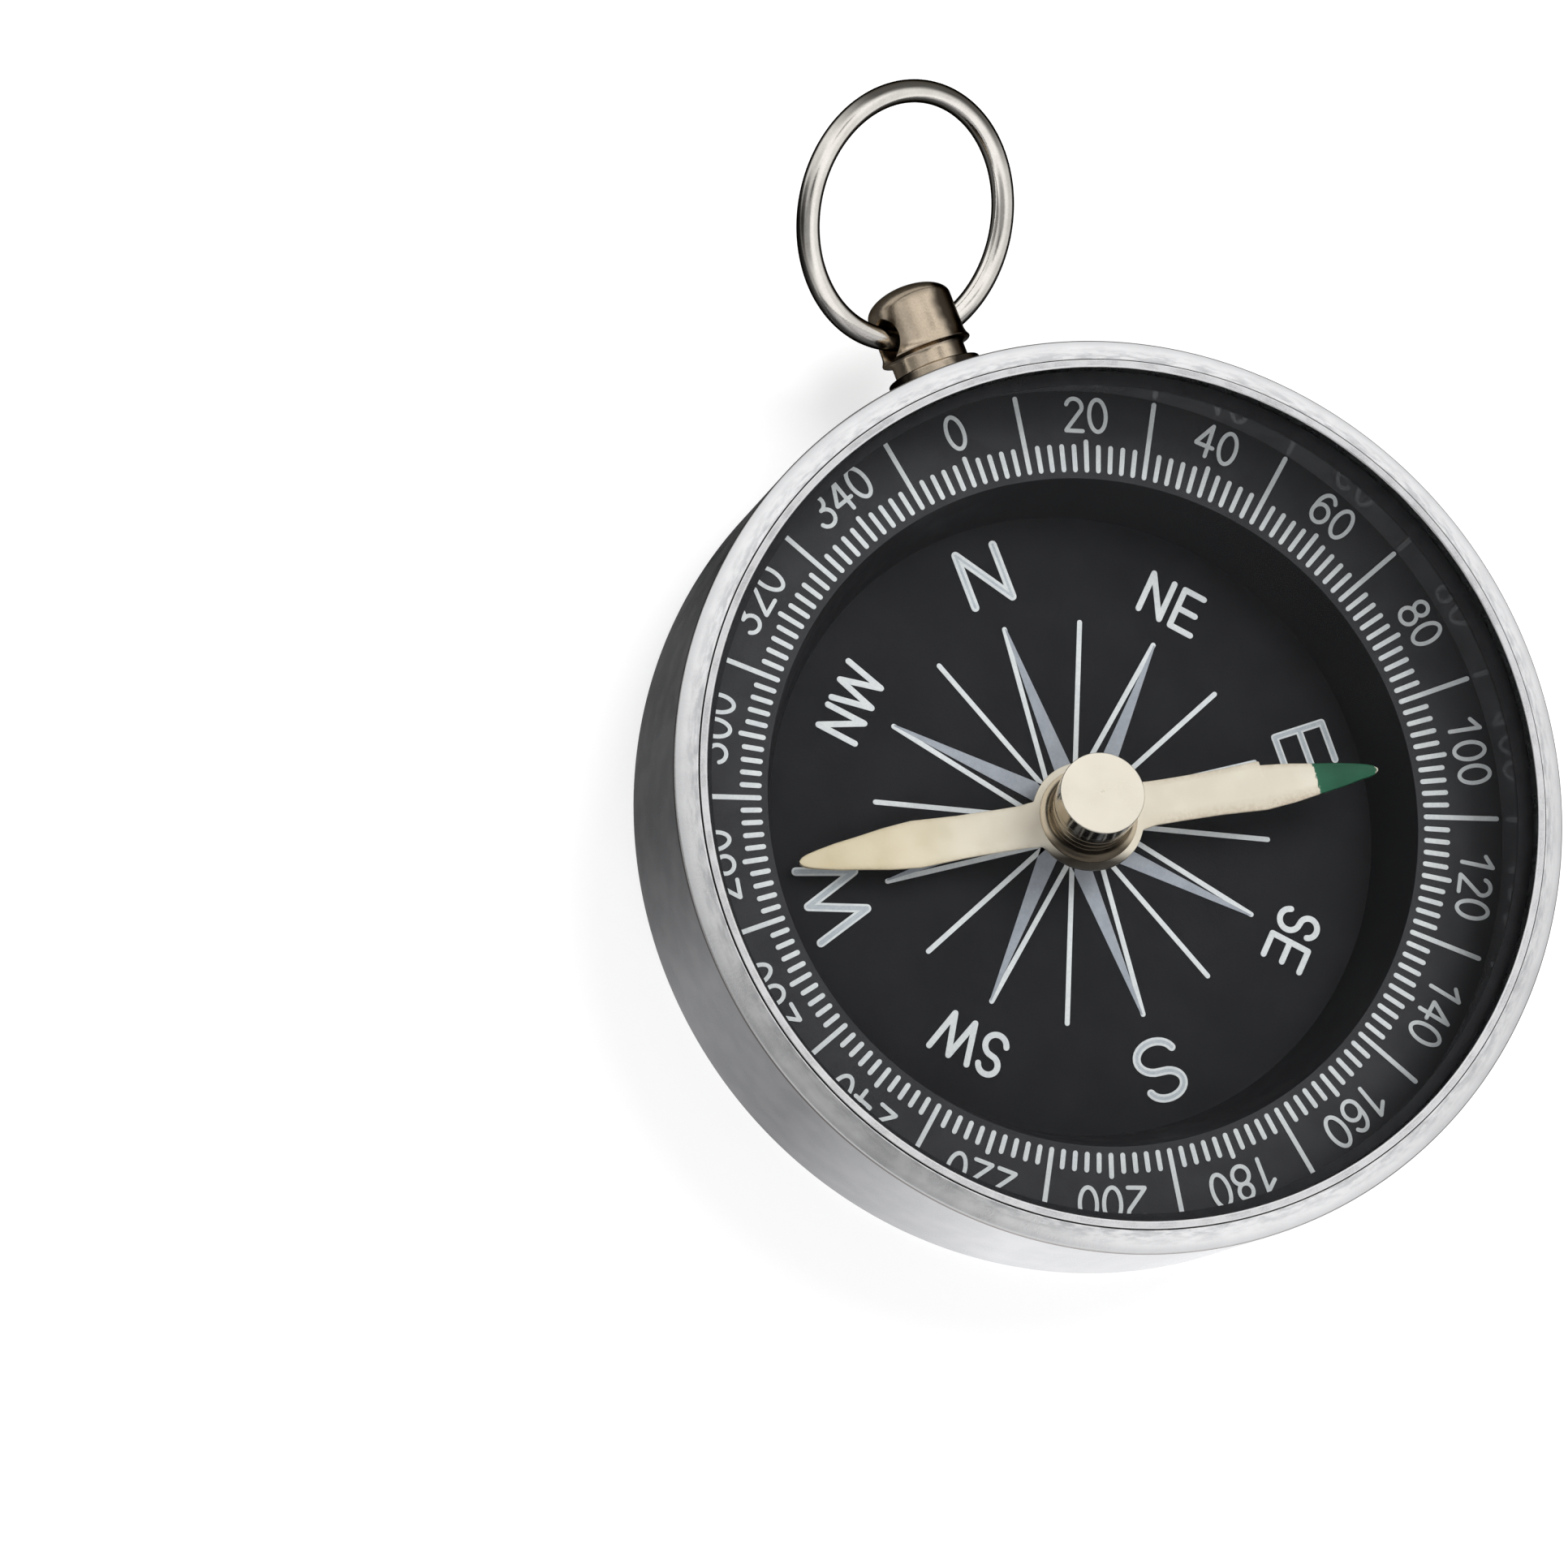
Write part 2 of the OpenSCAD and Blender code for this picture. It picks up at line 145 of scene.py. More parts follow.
def rounded(corners, closed=True):
    # A profile of corners (x, y, radius): each corner becomes an arc that touches both its sides, and a point
    # stands a little past each of its ends, so that the plain sides shade flat
    arcSteps, spareShare, leastSpare = 6, 0.4, 1e-3
    at = np.array([c[:2] for c in corners], float)
    count = len(at)
    sides = [np.roll(at, k, 0) - at for k in (1, -1)]
    lengths = [np.linalg.norm(side, axis=1) for side in sides]
    before, after = (side / length[:, None] for side, length in zip(sides, lengths))
    half = np.arccos(np.clip((before * after).sum(1), -1, 1)) / 2
    radii = np.array([c[2] if len(c) > 2 else 0.0 for c in corners])
    if not closed:
        radii[[0, -1]] = 0
    reach = radii / np.tan(half)
    out = []
    for i in range(count):
        if radii[i] <= 0:
            out.append(at[i])
            continue
        spareBefore, spareAfter = (spareShare * min(radii[i], length[i] - reach[i] - reach[(i + k) % count])
                                   for length, k in zip(lengths, (-1, 1)))
        middle = before[i] + after[i]
        centre = at[i] + middle / np.linalg.norm(middle) * radii[i] / math.sin(half[i])
        ends = [at[i] + side[i] * reach[i] - centre for side in (before, after)]
        start, end = (math.atan2(y, x) for x, y in ends)
        sweep = (end - start + math.pi) % (2 * math.pi) - math.pi
        if spareBefore > leastSpare:
            out.append(at[i] + before[i] * (reach[i] + spareBefore))
        out.extend(centre + radii[i] * polar(start + sweep * np.linspace(0, 1, arcSteps + 1)))
        if spareAfter > leastSpare:
            out.append(at[i] + after[i] * (reach[i] + spareAfter))
    return np.array(out)


def turnedMesh(profile, steps, closed=True):
    # Each profile point (radius, height) goes round the axis. An open profile ends on the axis, where fans close it
    turn = fullTurn(steps)
    body = profile if closed else profile[1:-1]
    radius, height = body[:, :1], body[:, 1:]
    points = np.stack([radius * np.cos(turn), radius * np.sin(turn), height + 0 * turn], -1).reshape(-1, 3)
    faces = gridFaces(len(body), steps, closed).tolist()
    if not closed:
        for end, row in ((0, 0), (-1, len(body) - 1)):
            ring = row * steps + np.arange(steps)
            faces += np.stack([ring, np.roll(ring, -1), np.full(steps, len(points))], -1).tolist()
            points = np.vstack([points, [0, 0, profile[end][1]]])
    return points, faces


def turned(name, corners, steps, closed=True, place=None, sideHeights=(-math.inf, math.inf)):
    # "side" is 1 where the surface faces away from the axis and 0 where it faces along it, but 1 below the first
    # of the two given heights and 0 from the second one up
    profile = rounded(corners, closed)
    points, faces = turnedMesh(profile, steps, closed)
    ahead = np.roll(profile, -1, 0) - np.roll(profile, 1, 0)
    side = np.abs(ahead[:, 1]) / np.maximum(np.hypot(ahead[:, 0], ahead[:, 1]), 1e-9)
    side[profile[:, 1] < sideHeights[0]] = 1
    side[profile[:, 1] >= sideHeights[1]] = 0
    side = np.repeat(side, steps) if closed else np.append(np.repeat(side[1:-1], steps), [0, 0])
    return meshPiece(name, points, faces, place, values={"side": side, "height": points[:, 2]})


def cutAway(piece, cutter, sharp=32):
    setAll(piece.modifiers.new("cut", "BOOLEAN"), dict(operation="DIFFERENCE", solver="EXACT", object=cutter))
    made = bpy.data.meshes.new_from_object(piece.evaluated_get(bpy.context.evaluated_depsgraph_get()))
    piece.modifiers.clear()
    piece.data = made
    made.name = piece.name
    bpy.data.objects.remove(cutter)
    shade(made, sharp)


def addPiece(piece, body, slot, materials, *replaced):
    for material in materials:
        piece.data.materials.append(material)
    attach(piece, body)
    if replaced:
        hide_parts(*replaced)


# Flat print helpers: strokes with round ends, joined to one flat shape and raised as a layer of ink

def arc(x, y, rx, ry, start, end, steps):
    return polar(np.radians(np.linspace(start, end, steps + 1))) * (rx, ry) + (x, y)


def stroke(points, width, cap=6):
    # The outline of a line of that width, with a half circle at each end
    p = np.asarray(points, float)
    along = np.gradient(p, axis=0) if len(p) > 2 else np.repeat(p[1:] - p[:1], 2, 0)
    along /= np.linalg.norm(along, axis=1)[:, None]
    side = np.stack([along[:, 1], -along[:, 0]], -1) * width / 2
    last, first = (end + width / 2 * polar(math.atan2(y, x) + np.linspace(0, math.pi, cap + 1))
                   for end, (x, y) in ((p[-1], side[-1]), (p[0], -side[0])))
    return np.vstack([(p + side)[:-1], last, (p - side)[1:-1][::-1], first[:-1]])


def strokes(lines, width):
    return [stroke(line, width) for line in lines]


def flatUnion(shapes, marked=()):
    # Outlines joined to points, triangles and, for each triangle, 1 where a marked outline covers it
    points, faces = [], []
    for outline in (*shapes, *marked):
        x, y = outline.T
        if (x * np.roll(y, -1) - y * np.roll(x, -1)).sum() < 0:
            outline = outline[::-1]
        faces.append(list(range(len(points), len(points) + len(outline))))
        points.extend(Vector(q) for q in outline.tolist())
    points, _, triangles, _, _, covers = delaunay_2d_cdt(points, [], faces, 0, 1e-5)
    count = len(shapes)
    kept = [(t, max(over) >= count) for t, over in zip(triangles, covers) if over and min(over) < count]
    used, flat = np.unique(np.array([t for t, _ in kept]), return_inverse=True)
    return np.array([points[i][:] for i in used]), flat.reshape(-1, 3), np.array([int(mark) for _, mark in kept])


def raised(points, low, thick):
    # A flat outline's points on top of a layer, and again at its bottom
    return np.vstack([np.column_stack([points, np.full(len(points), z)]) for z in (low + thick, low)])


def layerMesh(flat, low, thick):
    # A flat shape given a top, a bottom and side walls along its open edges
    points, tris, mark = flat
    count = len(points)
    edges = np.vstack([tris[:, [0, 1]], tris[:, [1, 2]], tris[:, [2, 0]]])
    isOpen = ~np.isin(edges[:, 1] * count + edges[:, 0], edges[:, 0] * count + edges[:, 1])
    first, second = edges[isOpen].T
    walls = np.stack([first, first + count, second + count, second], -1)
    faces = tris.tolist() + (tris[:, ::-1] + count).tolist() + walls.tolist()
    return raised(points, low, thick), faces, np.concatenate([mark, mark, np.tile(mark, 3)[isOpen]])


def addPrint(name, parts, materials, *replaced):
    # Several meshes (points, faces, slots) as one printed piece of the case
    points, faces, slots = zip(*parts)
    starts = np.cumsum([0, *map(len, points)])
    faces = [[i + start for i in face] for start, some in zip(starts, faces) for face in some]
    piece = meshPiece(name, np.vstack(points), faces, slots=np.concatenate(slots))
    addPiece(piece, "case", "ink", materials, *replaced)


def heading(bearing, height):
    a, e = math.radians(bearing), math.radians(height)
    return Vector((math.sin(a) * math.cos(e), math.cos(a) * math.cos(e), math.sin(e)))


def onDial(mesh, bearing, shift=(0, 0), at=(0, 0)):
    # A mesh (right, outwards, up), moved by at, then turned to a bearing clockwise from north
    points, faces, slots = mesh
    a = math.radians(bearing)
    x, y, z = (points + (*at, 0)).T
    points = np.column_stack([x * math.cos(a) + y * math.sin(a) + shift[0],
                              y * math.cos(a) - x * math.sin(a) + shift[1], z])
    return points, faces, slots


# Shader helpers. A node goes into the tree of the socket that it works on

def addNode(tree, kind, **settings):
    return setAll(tree.nodes.new("ShaderNode" + kind), settings)


def isSocket(value):
    return isinstance(value, bpy.types.NodeSocket)


def fill(node, **sockets):
    # Sets or links sockets by name, with _ for a space, or by number, such as i0
    for key, value in sockets.items():
        socket = node.inputs[int(key[1:]) if key[1:].isdigit() else key.replace("_", " ")]
        if isSocket(value):
            node.id_data.links.new(value, socket)
        else:
            socket.default_value = value
    return node


def output(tree, kind, **sockets):
    return fill(addNode(tree, kind), **sockets).outputs[0]


def ranged(value, span, toLow=0, toHigh=1, unit=1, smooth=True):
    # From toLow to toHigh as the value goes over the span, which is in that unit
    node = addNode(value.id_data, "MapRange", interpolation_type="SMOOTHSTEP" if smooth else "LINEAR")
    fill(node, Value=value, From_Min=span[0] * unit, From_Max=span[1] * unit, To_Min=toLow, To_Max=toHigh)
    return node.outputs[0]


def maths(operation):
    def result(first, second):
        tree = (first if isSocket(first) else second).id_data
        return fill(addNode(tree, "Math", operation=operation), i0=first, i1=second).outputs[0]
    return result


plus, minus, times, larger = map(maths, ("ADD", "SUBTRACT", "MULTIPLY", "MAXIMUM"))
divided, isMore = map(maths, ("DIVIDE", "GREATER_THAN"))


def vectors(operation, first, second=(0, 0, 0), result="Vector"):
    node = addNode(first.id_data, "VectorMath", operation=operation)
    return fill(node, i0=first, i1=second).outputs[result]


def lengthOf(vector):
    return vectors("LENGTH", vector, result="Value")


def dot(vector, direction):
    return vectors("DOT_PRODUCT", vector, tuple(direction), "Value")


def blended(factor, first, second):
    first, second = ((*color, 1) if isinstance(color, tuple) else color for color in (first, second))
    return fill(addNode(factor.id_data, "Mix", data_type="RGBA"), i0=factor, i6=first, i7=second).outputs[2]


def mixedShader(factor, first, second):
    return output(factor.id_data, "MixShader", i0=factor, i1=first, i2=second)


def noise(coordinates, scale, detail, rough):
    return output(coordinates.id_data, "TexNoise", Vector=coordinates, Scale=scale, Detail=detail, Roughness=rough)


def attribute(tree, name):
    return addNode(tree, "Attribute", attribute_name=name).outputs["Fac"]


def objectPlace(tree):
    return addNode(tree, "TexCoord").outputs["Object"]


def onAxis(vector, axis):
    return fill(addNode(vector.id_data, "SeparateXYZ"), Vector=vector).outputs[axis]


# Detail and roughness of both noises, what is spread over 0 to 1, and the grain's share of the height
skinShape = dict(grain=(4.0, 0.65), grainFrom=(0.3, 0.7), smudge=(3.0, 0.5), smudgeFrom=(0.32, 0.68), grainShare=0.7)


def makeSkinGroup(shape):
    # Fine grain, wide smudges and the height that both make, in the piece's own coordinates
    s = Named(shape)
    group = bpy.data.node_groups.new("surface_skin", "ShaderNodeTree")
    for way, names in (("INPUT", ("Grain Size", "Smudge Size")), ("OUTPUT", ("Grain", "Smudge", "Height"))):
        for name in names:
            group.interface.new_socket(name=name, in_out=way, socket_type="NodeSocketFloat")
    given, result = group.nodes.new("NodeGroupInput"), group.nodes.new("NodeGroupOutput")
    where = objectPlace(group)
    perMetre = [divided(1 / mm, given.outputs[i]) for i in (0, 1)]
    grain = ranged(noise(where, perMetre[0], *s.grain), s.grainFrom)
    smudge = ranged(noise(where, perMetre[1], *s.smudge), s.smudgeFrom)
    height = plus(times(grain, s.grainShare), times(smudge, 1 - s.grainShare))
    fill(result, Grain=grain, Smudge=smudge, Height=height)
    return group


skinGroup = makeSkinGroup(skinShape)


def startMaterial(name, look):
    # Grain and smudge are sizes in millimetres
    material = bpy.data.materials.new(name)
    material.use_nodes = True
    tree = material.node_tree
    surface = tree.nodes["Principled BSDF"]
    for key, value in look["fixed"].items():
        surface.inputs[key].default_value = value
    skin = fill(addNode(tree, "Group", node_tree=skinGroup), Grain_Size=look["grain"], Smudge_Size=look["smudge"])
    return material, tree, surface, skin.outputs


def finishMaterial(surface, skin, look, color, roughness=None):
    # The look's depth is that of its bumps, in micrometres
    normal = output(surface.id_data, "Bump", Strength=1.0, Distance=look["depth"] * 1e-6, Height=skin[2])
    roughness = roughness or ranged(skin[1], (0, 1), *look["roughness"])
    fill(surface, Base_Color=color, Roughness=roughness, Normal=normal)


def plainLook(name, look, shaded=None):
    # Two close tones; smudges also change the gloss. The last argument makes the mask for a third tone, a painted shade
    material, tree, surface, skin = startMaterial(name, look)
    grainShare = look.get("grainShare", 0.4)
    mixed = plus(times(skin[0], grainShare), times(skin[1], 1 - grainShare))
    color = blended(mixed, look["dark"], look["light"])
    if shaded:
        color = blended(shaded(tree, skin, look), color, look["stain"])
    finishMaterial(surface, skin, look, color)
    return material


def wobble(value, amount):
    # What noise from 0 to 1 adds to make an edge uneven
    return times(minus(value, 0.5), amount)


def sideStain(tree, skin, look):
    # Painted shade: darker where a turned piece faces away from its axis, with an uneven edge
    uneven = plus(attribute(tree, "side"), wobble(skin[1], look["stainUneven"]))
    return ranged(uneven, look["stainFrom"], 0, look["stainShare"])


def dusk(where, look):
    # Painted shade on one flank: its bearing, the shares of a radius where it starts and is full, and its strength
    towards = dot(where, heading(look["duskBearing"], 0) * (1000 / look["duskRadius"]))
    return ranged(towards, look["duskFrom"], 0, look["duskShare"])


# Case: pressed cup with its rolled rim, in satin aluminium

caseShape = dict(
    radius=22.0, inside=21.25, floor=0.5, baseRound=0.4, rivetHead=1.23, rivetHole=0.91, rivetHeadDeep=0.25,
    rimInside=20.9, rimUnder=9.36, rimEdge=9.2235, rimTop=9.755, edgeRound=0.2, innerRound=0.07,
    stemHeight=4.98, shankHole=1.04, collarHole=1.44, collarDeep=0.33, drillFrom=20.6, drillTo=22.6,
)
# The spans are in millimetres, of height or of distance from the axis
caseLook = dict(
    # The wall's tones are darker than the rim's, though both are the one aluminium: painted shade
    grain=0.16, smudge=1.6, depth=2.5, roughness=(0.26, 0.36), wall=(0.66, 0.66, 0.68), wallDark=(0.6, 0.605, 0.625),
    rim=(0.92, 0.92, 0.93), rimDark=(0.83, 0.83, 0.84), rimFrom=(8.95, 9.12),
    # Speckle: streaks round the rim that fade outwards, and the rim's duller outer part
    speckle=(0.46, 0.47, 0.48), streakLength=0.9, streakWidth=0.2, streakNoise=(4.0, 0.6), streakFrom=(0.38, 0.66),
    streakFade=(20.95, 21.7), streakShares=(0.65, 0.1), streakGloss=0.6, outer=0.4, outerFrom=(21.5, 21.95),
    # Painted dark reflection: the dark line at the rim's outer edge, which is also seen over the edge on the far side
    edge=(0.16, 0.14, 0.13), edgeLow=(9.02, 9.1), edgeHigh=(9.17, 9.27), edgeShare=0.85,
    farBearing=62, farFrom=(-5, 8), farRadius=(21.89, 21.95), farHeight=(9.0, 9.1), farShare=0.8,
    fixed={**metal, "Specular Tint": (0.6, 0.6, 0.6, 1)},
)


def makeCaseLook(look):
    v = Named(look)
    material, tree, surface, skin = startMaterial("case_aluminium", look)
    where = objectPlace(tree)
    flat = vectors("MULTIPLY", where, (1, 1, 0))
    radius, z = lengthOf(flat), onAxis(where, "Z")
    # Noise over the place round the rim, in streak lengths, and the radius, in streak widths
    lengths = vectors("MULTIPLY", vectors("NORMALIZE", flat), (v.outerFrom[0] / v.streakLength,) * 3)
    widths = output(tree, "CombineXYZ", Z=divided(radius, v.streakWidth * mm))
    streaks = ranged(noise(vectors("ADD", lengths, widths), 1.0, *v.streakNoise), v.streakFrom)
    speckled = larger(ranged(radius, v.outerFrom, 0, v.outer, mm),
                      times(streaks, ranged(radius, v.streakFade, *v.streakShares, mm)))
    # The wall's darker tone is painted shade
    wall, rim = blended(skin[1], v.wallDark, v.wall), blended(skin[1], v.rimDark, v.rim)
    color = blended(ranged(z, v.rimFrom, unit=mm), wall, blended(speckled, rim, v.speckle))
    # The dark edge line and its part on the far side are a painted dark reflection
    edgeReflection = times(ranged(z, v.edgeLow, 0, v.edgeShare, mm), ranged(z, v.edgeHigh, 1, 0, mm))
    farReflectionSide = ranged(dot(where, heading(v.farBearing, 0)), v.farFrom, unit=mm)
    farEdgeReflection = times(times(ranged(radius, v.farRadius, 0, v.farShare, mm), farReflectionSide), ranged(z, v.farHeight, unit=mm))
    color = blended(larger(edgeReflection, farEdgeReflection), color, v.edge)
    gloss = plus(skin[1], times(streaks, v.streakGloss))
    finishMaterial(surface, skin, look, color, ranged(gloss, (0, 1 + v.streakGloss), *v.roughness))
    return material


def alongStem(height):
    return Matrix.Translation((0, 0, height)) @ turnAbout("X", -90)


def makeCase(s, material):
    piece = turned("case_body", [
        (s.rivetHead, 0), (s.radius, 0, s.baseRound), (s.radius, s.rimEdge, s.edgeRound),
        (s.rimInside, s.rimTop, s.innerRound), (s.rimInside, s.rimUnder), (s.inside, s.rimUnder),
        (s.inside, s.floor), (s.rivetHole, s.floor), (s.rivetHole, s.rivetHeadDeep),
    ], wideSteps)
    collarEnd = s.inside + s.collarDeep
    drill = [(0, s.drillFrom), (s.collarHole, s.drillFrom), (s.collarHole, collarEnd), (s.shankHole, collarEnd),
             (s.shankHole, s.drillTo), (0, s.drillTo)]
    cutAway(piece, turned("stem_drill", drill, 48, False, alongStem(s.stemHeight)))
    addPiece(piece, "case", "case", [material], "case_shell")


makeCase(Named(caseShape), makeCaseLook(caseLook))
print("case ready")


# Bezel lip, liner and crystal

bezelShape = dict(
    sight=20.49, outside=21.22, foot=9.08, footTop=9.33, lip=20.885, top=9.78,
    footRound=0.03, lipRound=0.05, innerRound=0.12,
)
bezelLook = dict(
    grain=0.14, smudge=1.2, dark=(0.7, 0.7, 0.715), light=(0.85, 0.85, 0.86), roughness=(0.22, 0.34), depth=2.5,
    # Painted shade: the lip's inner wall is darkened as if in shadow
    stain=(0.03, 0.03, 0.032), stainFrom=(0.55, 0.95), stainUneven=0.1, stainShare=0.95, fixed=metal,
)
linerShape = dict(inside=20.82, outside=21.22, low=4.48, top=8.18, topRound=0.06)
linerLook = dict(
    grain=0.1, smudge=2.5, dark=(0.066, 0.066, 0.07), light=(0.098, 0.098, 0.104), roughness=(0.08, 0.16), depth=0.5,
    fixed={"IOR": 1.5, "Specular IOR Level": 0.3},
)
crystalLook = dict(
    grain=0.3, smudge=3.0, tintLow=(0.955, 0.965, 0.965), tintHigh=(0.99, 0.995, 0.995), roughFrom=(0.3, 1),
    roughness=(0.0, 0.018), straight=(0.97, 0.975, 0.975, 1),
    fixed={"Transmission Weight": 1.0, "IOR": 1.1},
)


def makeBezel(s, material):
    corners = [
        (s.sight, s.foot, s.footRound), (s.outside, s.foot), (s.outside, s.footTop), (s.lip, s.footTop),
        (s.lip, s.top, s.lipRound), (s.sight, s.top, s.innerRound),
    ]
    addPiece(turned("bezel_lip", corners, wideSteps), "case", "bezel", [material], "bezel_ring")


def makeLiner(s, material):
    corners = [(s.inside, s.low), (s.outside, s.low), (s.outside, s.top), (s.inside, s.top, s.topRound)]
    addPiece(turned("liner_wall", corners, wideSteps), "case", "liner", [material], "liner_ring")


def makeCrystalLook(look):
    # Clear glass with faint smudges. Only the eye's rays bend in it, which count as glossy and as transmission rays;
    # those of lamps and of mirroring metal go straight through
    v = Named(look)
    material, tree, surface, skin = startMaterial("clear_crystal", look)
    fill(surface, Base_Color=blended(skin[1], v.tintLow, v.tintHigh),
         Roughness=ranged(skin[1], v.roughFrom, *v.roughness))
    ray = addNode(tree, "LightPath").outputs
    mirrored = isMore(ray["Is Glossy Ray"], ray["Is Transmission Ray"])
    through = larger(ray["Is Shadow Ray"], larger(ray["Is Diffuse Ray"], mirrored))
    straight = output(tree, "BsdfTransparent", Color=v.straight)
    fill(tree.nodes["Material Output"], Surface=mixedShader(through, surface.outputs[0], straight))
    return material


def dress(node, material):
    for place in nodes[node].material_slots:
        place.material = material


makeBezel(Named(bezelShape), plainLook("bezel_metal", bezelLook, sideStain))
makeLiner(Named(linerShape), plainLook("gloss_black", linerLook))
dress("crystal", makeCrystalLook(crystalLook))
print("bezel, liner and crystal ready")


# Dial: card, raised ring and their print

dialShape = dict(cardZ=0.72, ringZ=4.48, wellLow=15.4, wellTop=16.4, outside=21.22, wall=0.8, ledgeRound=0.05, ink=0.04)
ringLook = dict(
    grain=0.09, smudge=2.2, dark=(0.047, 0.047, 0.05), light=(0.070, 0.070, 0.075), grainShare=0.5,
    # Painted shade: the well's sloping wall and the ring's other walls are darkened
    stain=(0.024, 0.024, 0.026), stainFrom=(0.3, 0.9), stainUneven=0.1, stainShare=1.0,
    roughness=(0.42, 0.56), depth=3, fixed={"Specular IOR Level": 0.05},
)
cardLook = dict(
    grain=0.11, smudge=3.0, dark=(0.02, 0.02, 0.0215), light=(0.03, 0.03, 0.033), grainShare=0.5,
    roughness=(0.5, 0.66), depth=3, fixed={"Specular IOR Level": 0.05},
)
inkLook = dict(
    grain=0.12, smudge=0.7, dark=(0.74, 0.77, 0.79), light=(0.9, 0.92, 0.92), grainShare=0.6,
    roughness=(0.5, 0.7), depth=4, fixed={"Specular IOR Level": 0.3},
)
coreLook = dict(inkLook, grain=0.13, smudge=0.8, dark=(0.48, 0.53, 0.58), light=(0.66, 0.7, 0.73))
rayLook = dict(inkLook, grain=0.14, smudge=0.9, dark=(0.36, 0.385, 0.435), light=(0.46, 0.49, 0.54), grainShare=0.5)

ink = plainLook("print_light", inkLook)
inkCore = plainLook("print_core", coreLook)
inkRay = plainLook("print_ray", rayLook)


def makeRing(s, material):
    z, low, wall = s.ringZ, s.cardZ, s.wall
    corners = [
        (s.wellLow, low), (s.wellTop, z, s.ledgeRound), (s.outside, z), (s.outside, low), (s.outside - wall, low),
        (s.outside - wall, z - wall), (s.wellTop + wall, z - wall), (s.wellLow + wall, low),
    ]
    addPiece(turned("scale_ring", corners, wideSteps), "case", "dial_plastic", [material], "degree_ring")


marksShape = dict(
    step=2, start=16.7, room=4.12, width=0.24, short=0.296, middle=0.355, long=0.922, run=0.26, runBearing=55,
)


def runOut(s, bearing):
    # The print's run-out makes its marks a little longer towards one bearing
    return s.run * math.cos(math.radians(bearing - s.runBearing))


def makeMarks(s, d, materials):
    # Each mark is a bar with round ends: long at odd tens, middle at even tens, else short
    parts = []
    for bearing in range(0, 360, s.step):
        share = s.long if bearing % 20 == 10 else s.middle if bearing % 20 == 0 else s.short
        length = s.room * share + runOut(s, bearing)
        inset = s.width / 2
        outline = stroke([(0, s.start + inset), (0, s.start + length - inset)], s.width, 5)
        count = len(outline)
        i = np.arange(count)
        walls = np.stack([i, np.roll(i, -1), np.roll(i, -1) + count, i + count], -1).tolist()
        faces = [i.tolist(), (i[::-1] + count).tolist(), *walls]
        parts.append(onDial((raised(outline, d.ringZ, d.ink), faces, np.zeros(len(faces), int)), bearing))
    addPrint("scale_marks", parts, materials, "degree_marks")


# A ray's fill starts beside its middle line and ends at the tip between the two places of fillTip
roseShape = dict(
    centre=(-0.06, 0.1), turn=1.3, hub=1.95, tip=10.164, halfWidth=1.0, line=0.25, lineShare=0.8,
    fillStart=-0.06, fillTip=(0.02, 0.1),
)


def makeRose(s, d, materials):
    # Eight rays and eight lines. A ray's clockwise half is filled in a greyer blue; its other half is a line only
    tip = s.tip - s.line / 2
    spread = s.halfWidth * (1 - s.hub / s.tip)
    outline = strokes([[(-(spread * s.lineShare), s.hub), (0, tip)]], s.line)
    filled = np.array([(s.fillStart, s.hub), (spread + s.line / 2, s.hub), (s.fillTip[1], tip), (s.fillTip[0], tip)])
    ray = layerMesh(flatUnion([*outline, filled], [filled]), d.cardZ, d.ink)
    line = layerMesh(flatUnion(strokes([[(0, s.hub), (0, tip)]], s.line)), d.cardZ, d.ink)
    parts = [onDial(line if k % 2 else ray, 22.5 * k + s.turn, s.centre) for k in range(16)]
    addPrint("card_rose", parts, materials, "rose_print")


def loop(y, rx, ry, steps):
    return [arc(0, y, rx, ry, -95, 95, steps), arc(0, y, rx, ry, 85, 275, steps)]


# Digits as lines (right, up) round a middle at 0, from a foot line at 0 to a top at 1.63
digitLines = {
    "0": loop(0.815, 0.425, 0.815, 20),
    "1": [[(0.13, 0), (0.13, 1.63)], [(0.13, 1.63), (-0.36, 1.2)]],
    "2": [np.vstack([arc(0, 1.22, 0.4, 0.41, 165, -20, 14), [(-0.28, 0.22), (-0.42, 0.02)]]),
          [(-0.42, 0.0), (0.42, 0.0)]],
    "3": [arc(-0.02, 1.25, 0.37, 0.38, 150, -90, 14), arc(-0.02, 0.435, 0.42, 0.435, 90, -160, 16)],
    "4": [[(0.2, 0), (0.2, 1.63)], [(0.2, 1.63), (-0.42, 0.56)], [(-0.42, 0.52), (0.46, 0.52)]],
    "6": [*loop(0.5, 0.42, 0.5, 14), arc(0.02, 0.9, 0.44, 0.73, 182, 42, 16), [(-0.42, 0.55), (-0.42, 0.9)]],
    "8": [*loop(1.25, 0.35, 0.38, 12), *loop(0.44, 0.42, 0.44, 14)],
}
numbersShape = dict(step=20, foot=18.475, run=0.27, runBearing=55, stroke=0.2, advance=1.2, pairShift=0.04)


def makeNumbers(s, d, materials):
    glyphs = {digit: layerMesh(flatUnion(strokes(lines, s.stroke)), d.ringZ, d.ink)
              for digit, lines in digitLines.items()}
    parts = []
    for bearing in range(0, 360, s.step):
        text = str(bearing)
        foot = s.foot + s.stroke / 2 + runOut(s, bearing)
        for i, digit in enumerate(text):
            right = (i - (len(text) - 1) / 2) * s.advance + (s.pairShift if len(text) < 3 else 0)
            parts.append(onDial(glyphs[digit], bearing, at=(right, foot)))
    addPrint("scale_numbers", parts, materials)


# Shares of the letter's height or half width, and where each bowl starts and ends
sShape = dict(upper=0.235, lower=0.265, upperWide=0.93, lean=0.02, upperTurn=(16, 250), lowerTurn=(72, -163), steps=18)


